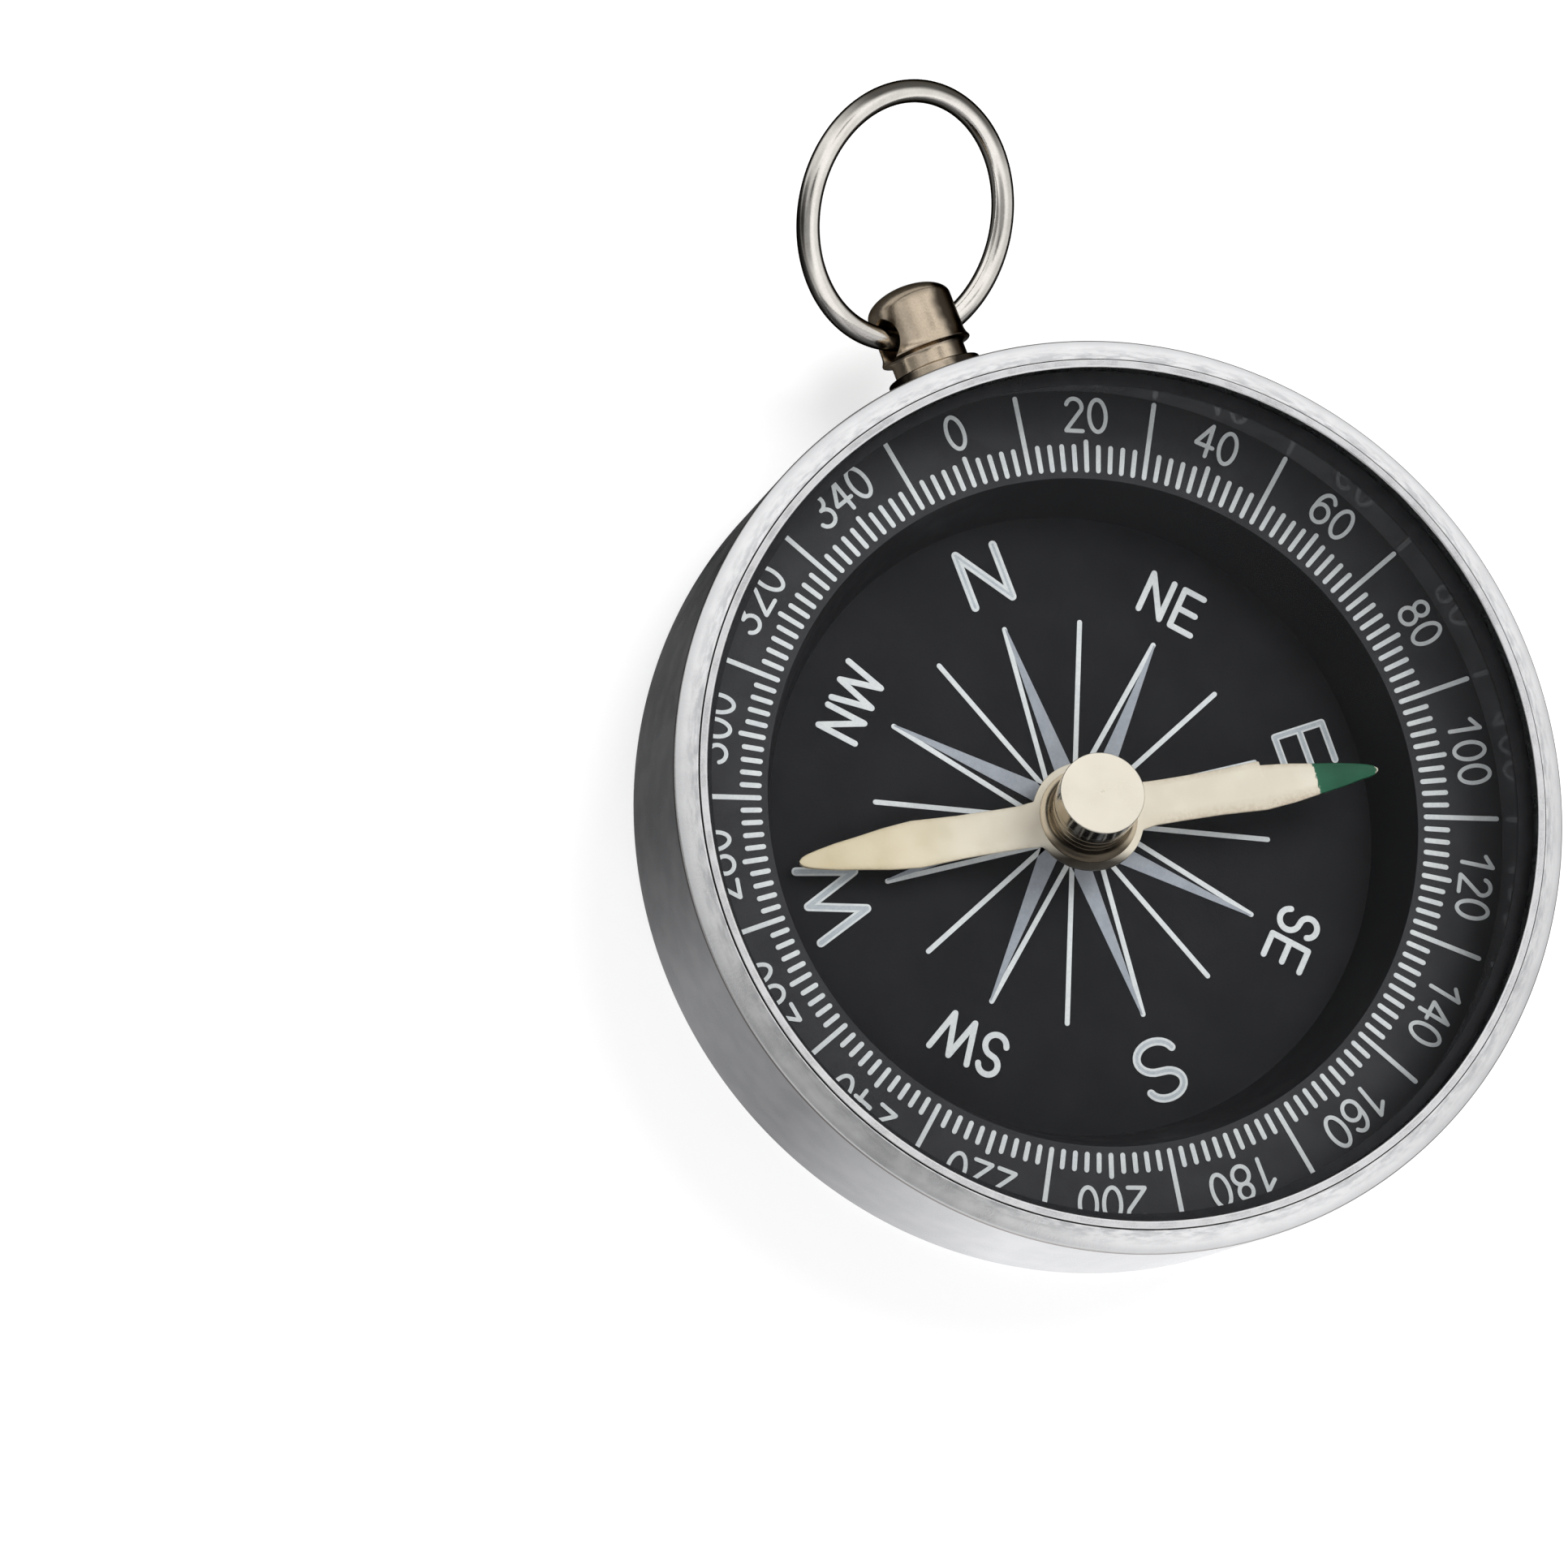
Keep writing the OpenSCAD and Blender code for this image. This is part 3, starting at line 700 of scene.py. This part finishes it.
def letterS(x, low, high, half):
    # An S: its upper bowl opens to the right, and its lower bowl to the left
    s = Named(sShape)
    upper, lower = s.upper * (high - low), s.lower * (high - low)
    top = arc(x - half * s.lean, high - upper, half * s.upperWide, upper, *s.upperTurn, s.steps)
    bottom = arc(x + half * s.lean, low + lower, half, lower, *s.lowerTurn, s.steps)
    return [np.vstack([top, bottom])]


def letterN(left, right, low, high, lean=0.0):
    return [[(top, high), (foot + lean, low)] for top, foot in ((left, left), (left, right), (right, right))]


def letterE(left, ends, levels):
    return [[(left, levels[0]), (left, levels[2])], *([(left, levels[i]), (ends[i], levels[i])] for i in (2, 1, 0))]


def letterW(stops, low, high):
    return [[(stops[i], low if i % 2 else high), (stops[i + 1], high if i % 2 else low)] for i in range(4)]


# Card letters (right, outwards from the rose's middle): bearing, lines, stroke and its darker core's share
cardLetters = [
    (0, letterN(-1.11, 0.92, 11.5, 14.25, 0.06), 0.42, 0.3),
    (45, letterN(-1.45, -0.28, 11.4, 13.42) + letterE(0.33, (1.5, 1.33, 1.4), (11.4, 12.4, 13.42)), 0.3, 0),
    (90, letterE(-0.87, (1.1, 1.0, 1.1), (11.5, 12.85, 14.15)), 0.36, 0.5),
    (135, letterS(-0.72, 11.4, 13.42, 0.53) + letterE(0.33, (1.5, 1.42, 1.5), (11.4, 12.4, 13.42)), 0.3, 0),
    (180, letterS(0.12, 11.45, 14.28, 1.0), 0.4, 0.4),
    (225, letterS(-1.1, 11.38, 13.42, 0.53) + letterW((-0.15, 0.28, 0.85, 1.38, 1.9), 11.4, 13.42), 0.3, 0),
    (270, letterW((-1.85, -0.95, 0.0, 0.95, 1.8), 11.48, 14.25), 0.42, 0.5),
    (315, letterN(-1.7, -0.57, 11.4, 13.42) + letterW((-0.15, 0.3, 0.85, 1.42, 1.88), 11.4, 13.42), 0.3, 0),
]


def makeLetters(letters, rose, d, materials):
    parts = []
    for bearing, lines, width, coreShare in letters:
        core = strokes(lines, width * coreShare) if coreShare else []
        letter = layerMesh(flatUnion(strokes(lines, width), core), d.cardZ, d.ink)
        parts.append(onDial(letter, bearing + rose.turn, rose.centre))
    addPrint("card_letters", parts, materials)


dial, rose = Named(dialShape), Named(roseShape)
makeRing(dial, plainLook("ring_black", ringLook, sideStain))
makeMarks(Named(marksShape), dial, [ink])
makeRose(rose, dial, [ink, inkRay])
makeNumbers(Named(numbersShape), dial, [ink])
makeLetters(cardLetters, rose, dial, [ink, inkCore])
dress("dial_card", plainLook("card_black", cardLook))
print("dial ready")


# Needle: blade, paint and cap, as it rests on its pin in the photo

needlePlace = dict(pinTip=3.2, turn=100.2, roll=9.0, rise=4.0, lift=0.4)
bladeShape = dict(
    thick=0.25, width=2.4, boss=2.77, hole=1.53, arm=14.9, otherShare=0.973, notch=0.61, step=0.2,
    along=(0.14, 0.18, 0.22, 0.3, 0.44, 0.52, 0.6, 0.7, 0.79, 0.87, 0.93, 0.97, 0.99, 1.0),
    half=(0.54, 0.478, 0.448, 0.443, 0.452, 0.475, 0.5, 0.44, 0.35, 0.28, 0.205, 0.145, 0.095, 0.035),
    blend=0.12, blendFall=4, least=0.02, edge=0.03, edgeShare=0.4, crown=0.09,
    # Where the step and the crown start along the arm, and over what lengths they grow and the step ends
    stepFrom=(2.0, 1.2), stepEnd=0.9, crownFrom=(2.3, 1.2),
    # Rows: the middle's half length, where the north arm's start, the gap at the notch, and the tip's length
    middleRows=2.8, armRows=3.0, notchGap=0.006, tipRows=0.6, tipFrom=0.94,
    # Painted brown shade: start and length along the arm; then start, length and strength across its south side, its
    # other side and every edge beyond the boss
    wornFrom=(2.2, 2), wornSouth=(0.3, 0.6, 0.75), wornOther=(0.75, 0.2, 0.5), wornEdges=(0.8, 0.15, 0.35), bossEnd=2.9,
)
bladeLook = dict(
    grain=0.2, smudge=2.4, dark=(0.82, 0.74, 0.61), light=(0.9, 0.83, 0.7), roughness=(0.34, 0.46), depth=4,
    # Spans along the blade, in millimetres north of its middle
    agedDark=(0.74, 0.63, 0.41), aged=(0.86, 0.75, 0.54), agedFrom=(-12.0, -3.0),
    green=(0.008, 0.078, 0.038), greenLight=(0.018, 0.12, 0.062), paintFrom=(11.68, 11.76), paintTo=(14.74, 14.86),
    # Painted brown shade along the blade's edges
    paintUneven=0.12, brown=(0.42, 0.3, 0.18), wornShares=(0.45, 0.9),
    # Painted shadow of the cap on the boss
    dusk=(0.018, 0.013, 0.009), duskBearing=204, duskFrom=(0.55, 0.86), duskShare=0.97, duskRadius=2.77,
    bossEdge=(2.77, 3.27),
    fixed={"Specular IOR Level": 0.3, "Coat Weight": 0.1, "Coat Roughness": 0.25},
)
capShape = dict(
    roof=0.967, bore=1.23, low=-0.6, spigot=1.5, flange=2.42, flangeTop=0.05, flangeRound=0.02, sweep=0.4,
    body=2.0, grooveLow=2.06, grooveTop=2.2, groove=1.93, grooveRound=0.04, head=2.06, top=3.3, topRound=0.06,
    dimple=0.13, dimpleRound=0.03, dimpleDeep=0.04, lines=(0.62, 1.1, 1.58), lineDeep=0.05,
    # The side mask carries both the polish and the painted shade of the cap's side
    dullBelow=0.3, plainTop=0.08,  # the look's side: full up to this height, and none from this far below the top
)
capLook = dict(
    grain=0.1, smudge=1.4, dark=(0.92, 0.845, 0.715), light=(0.98, 0.905, 0.78), depth=0.6,
    # Painted shade: brown on the turned side, and dark on one flank
    stain=(0.55, 0.45, 0.32), stainFrom=(0.1, 0.7), stainUneven=0.1, stainShare=0.9,
    dusk=(0.025, 0.018, 0.013), duskBearing=204, duskFrom=(0.45, 0.85), duskShare=0.97, duskRadius=capShape["body"],
    topRoughness=(0.27, 0.33), sideRoughness=0.14, dullFoot=(0.5, 1.0), fixed=metal,
)


def onPin(values):
    v = Named(values)
    return (Matrix.Translation((0, 0, v.pinTip)) @ turnAbout("Z", -v.turn) @ turnAbout("X", v.rise)
            @ turnAbout("Y", -v.roll) @ Matrix.Translation((0, 0, -v.lift)))


def bladeHalf(s, u, side):
    # Half width along the blade: the arm's or the boss's, softened, and wider or narrower by the notched arm's step
    arm = np.where(u >= 0, s.arm, s.arm * s.otherShare)
    half = np.interp(np.abs(u) / arm, s.along, s.half) * s.width
    boss = np.sqrt(np.maximum(0, s.boss ** 2 - u ** 2))
    apart = half - boss
    half = (half + boss + np.sqrt(apart ** 2 + s.blend ** 2) - s.blend * np.exp(-np.abs(apart) * s.blendFall)) / 2
    north = np.where(u / arm < s.notch, s.step, 0.0) if side < 0 else -s.step / 2
    fade = ramp(u, *s.stepFrom) * ramp(s.arm - u, 0, s.stepEnd)
    return np.maximum(s.least, np.where(u > 0, half + north * fade, half))


def makeBlade(s, material, place):
    # A grid along the blade: each row is a closed section, crowned on top and thinly rounded at its edges
    notchAt = s.arm * s.notch
    u = np.unique(np.concatenate([
        -s.arm * s.otherShare * np.sin(np.linspace(math.pi / 2, 0.2, 60)),
        np.linspace(-s.middleRows, s.middleRows, 57), np.linspace(s.armRows, notchAt - s.notchGap, 36),
        np.linspace(notchAt + s.notchGap, s.arm - s.tipRows, 34),
        s.arm - s.tipRows * np.linspace(s.tipFrom, 0, 15) ** 2]))
    rows = u[:, None]
    west, east = bladeHalf(s, rows, -1), bladeHalf(s, rows, 1)
    edge = np.minimum(s.edge, np.minimum(west, east) * s.edgeShare)
    crown = s.crown * ramp(np.abs(rows), *s.crownFrom) * np.minimum(1, (west + east) / 2)
    over, under = np.linspace(-1, 1, 17), np.linspace(1, -1, 5)
    topX, bottomX = (np.where(across < 0, west - edge, east - edge) * across for across in (over, under))
    side, low = -(crown + edge), -s.thick
    x = np.hstack([topX, east, east, bottomX, -west, -west])
    z = np.hstack([-crown * over ** 2, side, low + edge, np.full(bottomX.shape, low), low + edge, side])
    columns = x.shape[1]
    points = np.stack(np.broadcast_arrays(x, rows, z), -1).reshape(-1, 3)
    faces = gridFaces(len(u), columns, False).tolist()
    faces += [list(range(columns)), list(range((len(u) - 1) * columns, len(u) * columns))]
    # edge: how much painted brown shade the lacquer has
    share = x / np.maximum(np.abs(x).max(1), 1e-3)[:, None]
    worn = ramp(rows, *s.wornFrom) * (ramp(share, *s.wornSouth) + ramp(-share, *s.wornOther))
    worn = np.maximum(worn, ramp(np.abs(share), *s.wornEdges) * (np.abs(rows) > s.bossEnd))
    piece = meshPiece("needle_body", points, faces, values={"along": points[:, 1], "edge": worn.ravel()})
    drill = [(0, -1), (s.hole, -1), (s.hole, 1), (0, 1)]
    cutAway(piece, turned("blade_drill", drill, 64, False), 35)
    # place is in millimetres and the mesh is in metres
    piece.data.transform(Matrix.Scale(mm, 4) @ place @ Matrix.Scale(1 / mm, 4))
    addPiece(piece, "needle", "needle_metal", [material], "needle_blade")


def makeBladeLook(look):
    # Cream lacquer, yellowed towards the south tip, with painted brown shade along its edges and a painted dark shadow
    # where the cap shades the boss;
    # green paint covers the north tip from a slightly uneven line, and is worn off at the very point
    v = Named(look)
    material, tree, surface, skin = startMaterial("needle_lacquer", look)
    along, where = attribute(tree, "along"), objectPlace(tree)
    uneven = plus(along, wobble(skin[0], v.paintUneven))
    painted = times(ranged(uneven, v.paintFrom), ranged(uneven, v.paintTo, 1, 0))
    cream, aged = blended(skin[1], v.dark, v.light), blended(skin[1], v.agedDark, v.aged)
    cream = blended(ranged(along, v.agedFrom, 1, 0), cream, aged)
    away = lengthOf(vectors("MULTIPLY", where, (1, 1, 0)))
    bossShade = times(dusk(where, look), ranged(away, v.bossEdge, 1, 0, mm))
    # Painted brown shade along the edges, in place of the crowned blade's own shading
    worn = times(attribute(tree, "edge"), ranged(skin[0], (0, 1), *v.wornShares))
    cream = blended(bossShade, blended(worn, cream, v.brown), v.dusk)
    color = blended(painted, cream, blended(skin[1], v.green, v.greenLight))
    finishMaterial(surface, skin, look, color)
    return material


def makeCapLook(look):
    # Pale plate, satin on the flat top; the turned side is polished, with painted brown shade and a painted dark shade
    # on one flank
    v = Named(look)
    material, tree, surface, skin = startMaterial("cap_plate", look)
    side = sideStain(tree, skin, look)
    color = blended(side, blended(skin[1], v.dark, v.light), v.stain)
    color = blended(times(side, dusk(objectPlace(tree), look)), color, v.dusk)
    polish = times(ranged(side, (0, v.stainShare)), ranged(attribute(tree, "height"), v.dullFoot))
    satin = ranged(skin[1], (0, 1), *v.topRoughness)
    roughness = plus(times(satin, minus(1.0, polish)), times(polish, v.sideRoughness))
    finishMaterial(surface, skin, look, color, roughness)
    return material


def makeCap(s, material, place):
    turnedLines = [(s.body - (0 if k else s.lineDeep), z + k * s.lineDeep) for z in s.lines for k in (-1, 0, 1)]
    corners = [
        (0, s.roof), (s.bore, s.roof), (s.bore, s.low), (s.spigot, s.low), (s.spigot, 0), (s.flange, 0),
        (s.flange, s.flangeTop, s.flangeRound), (s.body, s.flangeTop, s.sweep), *turnedLines,
        (s.body, s.grooveLow, s.grooveRound), (s.groove, s.grooveLow), (s.groove, s.grooveTop),
        (s.head, s.grooveTop, s.grooveRound), (s.head, s.top, s.topRound), (s.dimple, s.top, s.dimpleRound),
        (0, s.top - s.dimpleDeep),
    ]
    piece = turned("needle_hub", corners, 160, False, place, (s.dullBelow, s.top - s.plainTop))
    addPiece(piece, "needle", "cap_metal", [material], "needle_cap")


needleMatrix = onPin(needlePlace)
makeBlade(Named(bladeShape), makeBladeLook(bladeLook), needleMatrix)
makeCap(Named(capShape), makeCapLook(capLook), needleMatrix)
print("needle ready")


# Stem: washer, knob and key ring

stemShape = dict(
    height=4.98, caseRadius=22.015, hole=1.04, washer=2.33, washerFace=22.72, washerRound=0.1, washerRings=(1.5, 1.9),
    shank=1.0, shankLow=21.28, neckLow=22.76, neck=1.85, neckRound=0.08, neckDrop=0.05, neckSweep=0.26,
    lipLow=23.7, lip=2.28, lipRound=0.06, lipStep=(0.015, 0.07, 0.03), lipTop=23.92, flare=(0.01, 0.1, 0.9),
    knob=2.12, knobStart=25.4, domeLow=26.05, domeHigh=1.03, eyeY=24.7345, eye=0.9145, turn=17.0, rod=2.6,
    # How far from the middle the hole gets how much wider
    eyeFlare=((1.6, 0), (1.7, 0.006), (1.8, 0.024), (1.9, 0.054), (2.0, 0.096), (2.1, 0.15), (2.6, 0.5)),
)
keyRingShape = dict(radius=6.0, wire=0.56, sag=0.1935, lift=29.0, lean=3.0, wireSteps=36, steps=192)
# Painted shade: start, end and strength on both flanks, in shares of the radius, along the stem and round the hole
knobLook = dict(
    grain=0.12, smudge=1.3, dark=(0.54, 0.45, 0.34), light=(0.73, 0.61, 0.47), roughness=(0.15, 0.26), depth=2.5,
    stain=(0.012, 0.009, 0.007), stainUneven=0.12, stainTurn=20, radius=2.12,
    right=(0.42, 0.74, 0.95), left=(0.78, 1.02, 0.3), dome=(25.95, 26.3, 0.42), hole=(0.96, 1.1, 0.9),
    fixed={**metal, "Specular Tint": (0.3, 0.28, 0.26, 1)},
)
washerLook = dict(
    # Painted shade on both flanks and where the washer meets the case
    knobLook, right=(0.35, 0.6, 0.97), left=(0.3, 0.6, 0.97), dome=(22.3, 22.0, 0.6), hole=(0.96, 1.1, 0),
    dark=(0.44, 0.37, 0.28), light=(0.6, 0.5, 0.39),
)
wireLook = dict(
    grain=0.12, smudge=1.0, dark=(0.8, 0.765, 0.71), light=(0.95, 0.915, 0.86), roughness=(0.09, 0.16), depth=1.5,
    stain=(0.05, 0.046, 0.04), stainFrom=(0, 1), stainUneven=0.0, stainShare=0.96,
    # Painted dark reflections leave the wire's top bright, which faces this way (bearing, height); they darken its
    # edges from the first to the second share
    worn=(239, 66), edges=(0.72, 0.9),
    # Bearing from the ring's middle, and how dark the painted reflection on the wire's outer side is there
    outer=((0, 0.97), (16, 1), (35, 1), (60, 0.8), (85, 0.3), (235, 0.3), (262, 0.75), (290, 0.95), (312, 0.4),
           (335, 0.3), (360, 0.97)), outerFrom=(0.05, 0.35),
    fixed={**metal, "Specular Tint": (0.2, 0.18, 0.16, 1)},
)


def makeWasher(s, material, steps=96):
    # A turned washer whose inner face lies on the round case
    profile = rounded([(s.hole, 0), *((ring, 0) for ring in s.washerRings), (s.washer, 0),
                       (s.washer, 1, s.washerRound), (s.hole, 1)])
    turn = fullTurn(steps)
    radius, up = profile[:, :1], profile[:, 1:]
    x, z = radius * np.cos(turn), radius * np.sin(turn) + s.height
    y = np.where(up < 0.5, np.sqrt(s.caseRadius ** 2 - x ** 2), s.washerFace + up - 1)
    piece = meshPiece("stem_disc", np.stack([x, y, z], -1).reshape(-1, 3), gridFaces(len(profile), steps, True))
    addPiece(piece, "case", "washer_metal", [material], "stem_washer")


def atEye(s):
    # The middle of the knob's hole, turned as the knob is
    return Matrix.Translation((0, s.eyeY, s.height)) @ turnAbout("Y", s.turn)


def makeKnob(s, material):
    dome = [(s.knob * math.cos(t), s.domeLow + s.domeHigh * math.sin(t)) for t in np.linspace(0, math.pi / 2, 25)[:-1]]
    stepIn, stepUp, stepRound = s.lipStep
    flareOut, flareUp, flareRound = s.flare
    corners = [
        (0, s.shankLow), (s.shank, s.shankLow), (s.shank, s.neckLow), (s.neck, s.neckLow, s.neckRound),
        (s.neck, s.lipLow - s.neckDrop, s.neckSweep), (s.lip, s.lipLow, s.lipRound),
        (s.lip - stepIn, s.lipLow + stepUp, stepRound), (s.knob + flareOut, s.lipTop + flareUp, flareRound),
        (s.knob, s.knobStart), *dome, (0, s.domeLow + s.domeHigh),
    ]
    piece = turned("knob_body", corners, 192, False, alongStem(s.height))
    # The hole's cutter: a rod along the knob's own X that flares towards both its ends
    flared = [(s.eye + wider, away) for away, wider in s.eyeFlare]
    rod = [(0, -s.rod), *((r, -away) for r, away in flared[::-1]), *flared, (0, s.rod)]
    cutAway(piece, turned("eye_drill", rod, 96, False, atEye(s) @ turnAbout("Y", 90)), 40)
    addPiece(piece, "knob", "stem_metal", [material], "stem_knob")


def knobStain(tree, skin, look):
    # Painted dark reflections on both flanks and over the dome; the painted shade is left off round the hole
    s, v = Named(stemShape), Named(look)
    where = objectPlace(tree)
    middle = vectors("SUBTRACT", where, (0, 0, s.height * mm))
    turn, reach = math.radians(v.stainTurn), v.radius * mm
    flank = dot(middle, (math.cos(turn) / reach, 0, math.sin(turn) / reach))
    uneven = wobble(skin[1], v.stainUneven)
    right = ranged(plus(flank, uneven), v.right, 0, v.right[2])
    left = ranged(minus(uneven, flank), v.left, 0, v.left[2])
    dome = ranged(onAxis(where, "Y"), v.dome, 0, v.dome[2], mm)
    eyeTurn = math.radians(s.turn)
    fromEye = vectors("SUBTRACT", middle, (0, s.eyeY * mm, 0))
    fromAxis = lengthOf(vectors("CROSS_PRODUCT", fromEye, (math.cos(eyeTurn), 0, -math.sin(eyeTurn))))
    shadeFreeEye = ranged(fromAxis, v.hole, v.hole[2], 0, mm)
    return times(larger(right, larger(left, dome)), minus(1.0, shadeFreeEye))


def makeKeyRing(shape, stem, look, material):
    # A torus: the wire's round section goes round the ring's middle line
    s, v = Named(shape), Named(look)
    place = (atEye(Named(stem)) @ turnAbout("X", s.lift) @ turnAbout("Z", s.lean)
             @ Matrix.Translation((0, s.radius - s.sag, 0)))
    section, around = polar(fullTurn(s.wireSteps)), fullTurn(s.steps)
    points, faces = turnedMesh(section * s.wire + (s.radius, 0), s.steps)
    # side: how much painted dark reflection the wire has. away: how far out from the bright top's line, as a share of
    # the wire's radius
    toFrame = np.array(place.to_3x3()).T
    normals = turnedMesh(section, s.steps)[0] @ toFrame
    outwards = np.column_stack([polar(around), 0 * around]) @ toFrame
    worn = np.array(heading(*v.worn))
    outwards -= (outwards @ worn)[:, None] * worn
    outwards /= np.linalg.norm(outwards, axis=1)[:, None]
    away = (normals * np.tile(outwards, (s.wireSteps, 1))).sum(1)
    far = np.sqrt(1 - np.clip(normals @ worn, -1, 1) ** 2)
    bearing = np.degrees(np.arctan2(outwards[:, 0], outwards[:, 1])) % 360
    outer = np.tile(np.interp(bearing, *zip(*v.outer)), s.wireSteps)
    low, high = v.edges
    # Painted dark reflections on the wire's edges and outer side
    side = np.maximum(ramp(far, low, high - low), outer * ramp(away, *v.outerFrom))
    piece = meshPiece("ring_wire", points, faces, place, 60, {"side": side})
    addPiece(piece, "ring", "ring_wire", [material], "key_ring")


makeWasher(Named(stemShape), plainLook("washer_nickel", washerLook, knobStain))
makeKnob(Named(stemShape), plainLook("knob_nickel", knobLook, knobStain))
makeKeyRing(keyRingShape, stemShape, wireLook, plainLook("wire_nickel", wireLook, sideStain))
print("stem ready")


# Parts that the others hide: CAD nodes with their own materials

gasketLook = dict(
    grain=0.1, smudge=0.8, dark=(0.026, 0.026, 0.028), light=(0.04, 0.04, 0.043), roughness=(0.6, 0.8), depth=5,
    fixed={"Specular IOR Level": 0.1},
)
brassLook = dict(
    grain=0.12, smudge=0.7, dark=(0.62, 0.45, 0.2), light=(0.78, 0.6, 0.31), roughness=(0.25, 0.4), depth=4,
    fixed=metal,
)
steelLook = dict(
    grain=0.08, smudge=0.4, dark=(0.5, 0.51, 0.53), light=(0.66, 0.67, 0.69), roughness=(0.15, 0.25), depth=1,
    fixed=metal,
)
jewelLook = dict(
    grain=0.08, smudge=0.4, dark=(0.3, 0.02, 0.05), light=(0.45, 0.05, 0.09), roughness=(0.06, 0.12), depth=0.5,
    fixed={},
)
for hiddenNode, hiddenLook in (
        ("crystal_gasket", gasketLook), ("pivot_foot", brassLook), ("pivot_pin", steelLook),
        ("jewel_cup", jewelLook), ("cap_collar", brassLook), ("shank_collar", steelLook)):
    dress(hiddenNode, plainLook(hiddenNode + "_look", hiddenLook))
print("hidden parts dressed")


# Studio: pale floor, soft lamps, and a white world that metal shows with soft darker parts

studio = dict(
    floorColor=0.62, floorGlow=0.6, floorDrop=0.05, floorHalf=3,  # drop in millimetres, half width in metres
    # In metal only: dark cloths round the object. Bearing, angles from there at which each starts and is darkest,
    # and its brightness; then the floor's own, the cloths' edge, and the plain floor that only the back mirrors
    cloths=[(285, 74, 40, 0.27), (296, 30, 8, 0.33), (60, 120, 95, 0.1)], floorInMetal=1.8, clothEdge=(50, 90),
    underCase=(21.9, 22.1),
    worldLight=0.42,
    # bearing, height, inner and outer angle from there, and how bright metal shows it
    parts=[(232, 53, 12, 36, 0.32), (72, 70, 4, 10, 0.45), (282, 12, 10, 36, 0.3), (250, 73, 4, 12, 0.3),
           (115, 18, 10, 36, 0.78), (302, 52, 8, 22, 0.74)],
    # name, bearing, height, distance, width and power of each soft lamp
    lamps=[("key", 62, 53, 600, 380, 2.1), ("fill", 205, 42, 600, 500, 1.1)],
)


def near(vector, bearing, height, start, full, level, smooth=True):
    # 1 outside the start angle round a heading, and that level inside the full angle
    span = [math.cos(math.radians(angle)) for angle in (start, full)]
    return ranged(dot(vector, heading(bearing, height)), span, 1, level, smooth=smooth)


def emptyTree(owner):
    owner.use_nodes = True
    owner.node_tree.nodes.clear()
    return owner.node_tree


def makeWorld(values):
    v = Named(values)
    scene.world = bpy.data.worlds.new("studio_world")
    tree = emptyTree(scene.world)
    ray = addNode(tree, "LightPath").outputs
    direction = addNode(tree, "TexCoord").outputs["Generated"]
    shown = 1.0
    for bearing, height, inner, outer, level in v.parts:
        shown = times(near(direction, bearing, height, outer, inner, level), shown)
    lit, inMetal, plain = (output(tree, "Background", Color=white, Strength=light)
                           for light in (v.worldLight, shown, 1.0))
    direct = larger(ray["Is Camera Ray"], ray["Is Transmission Ray"])
    both = mixedShader(direct, mixedShader(ray["Is Glossy Ray"], lit, inMetal), plain)
    fill(addNode(tree, "OutputWorld"), Surface=both)


def makeFloor(values):
    # White where nothing shades it; from below it isn't seen
    v = Named(values)
    mesh = bpy.data.meshes.new("studio_floor")
    z, far = -v.floorDrop * mm, v.floorHalf
    mesh.from_pydata([(-far, -far, z), (far, -far, z), (far, far, z), (-far, far, z)], [], [(0, 1, 2, 3)])
    floor = addObject("studio_floor", mesh)
    material = bpy.data.materials.new("floor_white")
    tree = emptyTree(material)
    ray = addNode(tree, "LightPath").outputs
    diffuse = output(tree, "BsdfDiffuse", Color=(*[v.floorColor] * 3, 1))
    eye = larger(ray["Is Camera Ray"], ray["Is Transmission Ray"])
    glow = output(tree, "Emission", Strength=times(eye, v.floorGlow))
    lit = output(tree, "AddShader", i0=diffuse, i1=glow)
    where = objectPlace(tree)
    away, distance = vectors("NORMALIZE", where), lengthOf(where)
    cloth = v.floorInMetal
    for bearing, wide, narrow, level in v.cloths:
        cloth = times(near(away, bearing, 0, wide, narrow, level, False), cloth)
    plain = larger(ranged(distance, v.clothEdge, unit=mm), ranged(distance, v.underCase, 1, 0, mm))
    inMetal = plus(times(cloth, minus(1.0, plain)), plain)
    shown = mixedShader(ray["Is Glossy Ray"], lit, output(tree, "Emission", Strength=inMetal))
    below = addNode(tree, "NewGeometry").outputs["Backfacing"]
    fill(addNode(tree, "OutputMaterial"), Surface=mixedShader(below, shown, output(tree, "BsdfTransparent")))
    mesh.materials.append(material)


def makeLamps(values):
    for name, bearing, height, distance, width, power in values["lamps"]:
        data = bpy.data.lights.new(name + "_lamp", "AREA")
        lamp = addObject(name + "_lamp", setAll(data, dict(shape="DISK", size=width * mm, energy=power)))
        lamp.visible_camera = lamp.visible_glossy = False
        away = heading(bearing, height)
        lamp.matrix_world = aimed(away * distance * mm, away, "Z")


makeWorld(studio)
makeFloor(studio)
makeLamps(studio)
scene.view_settings.view_transform = "Standard"
print("studio ready")
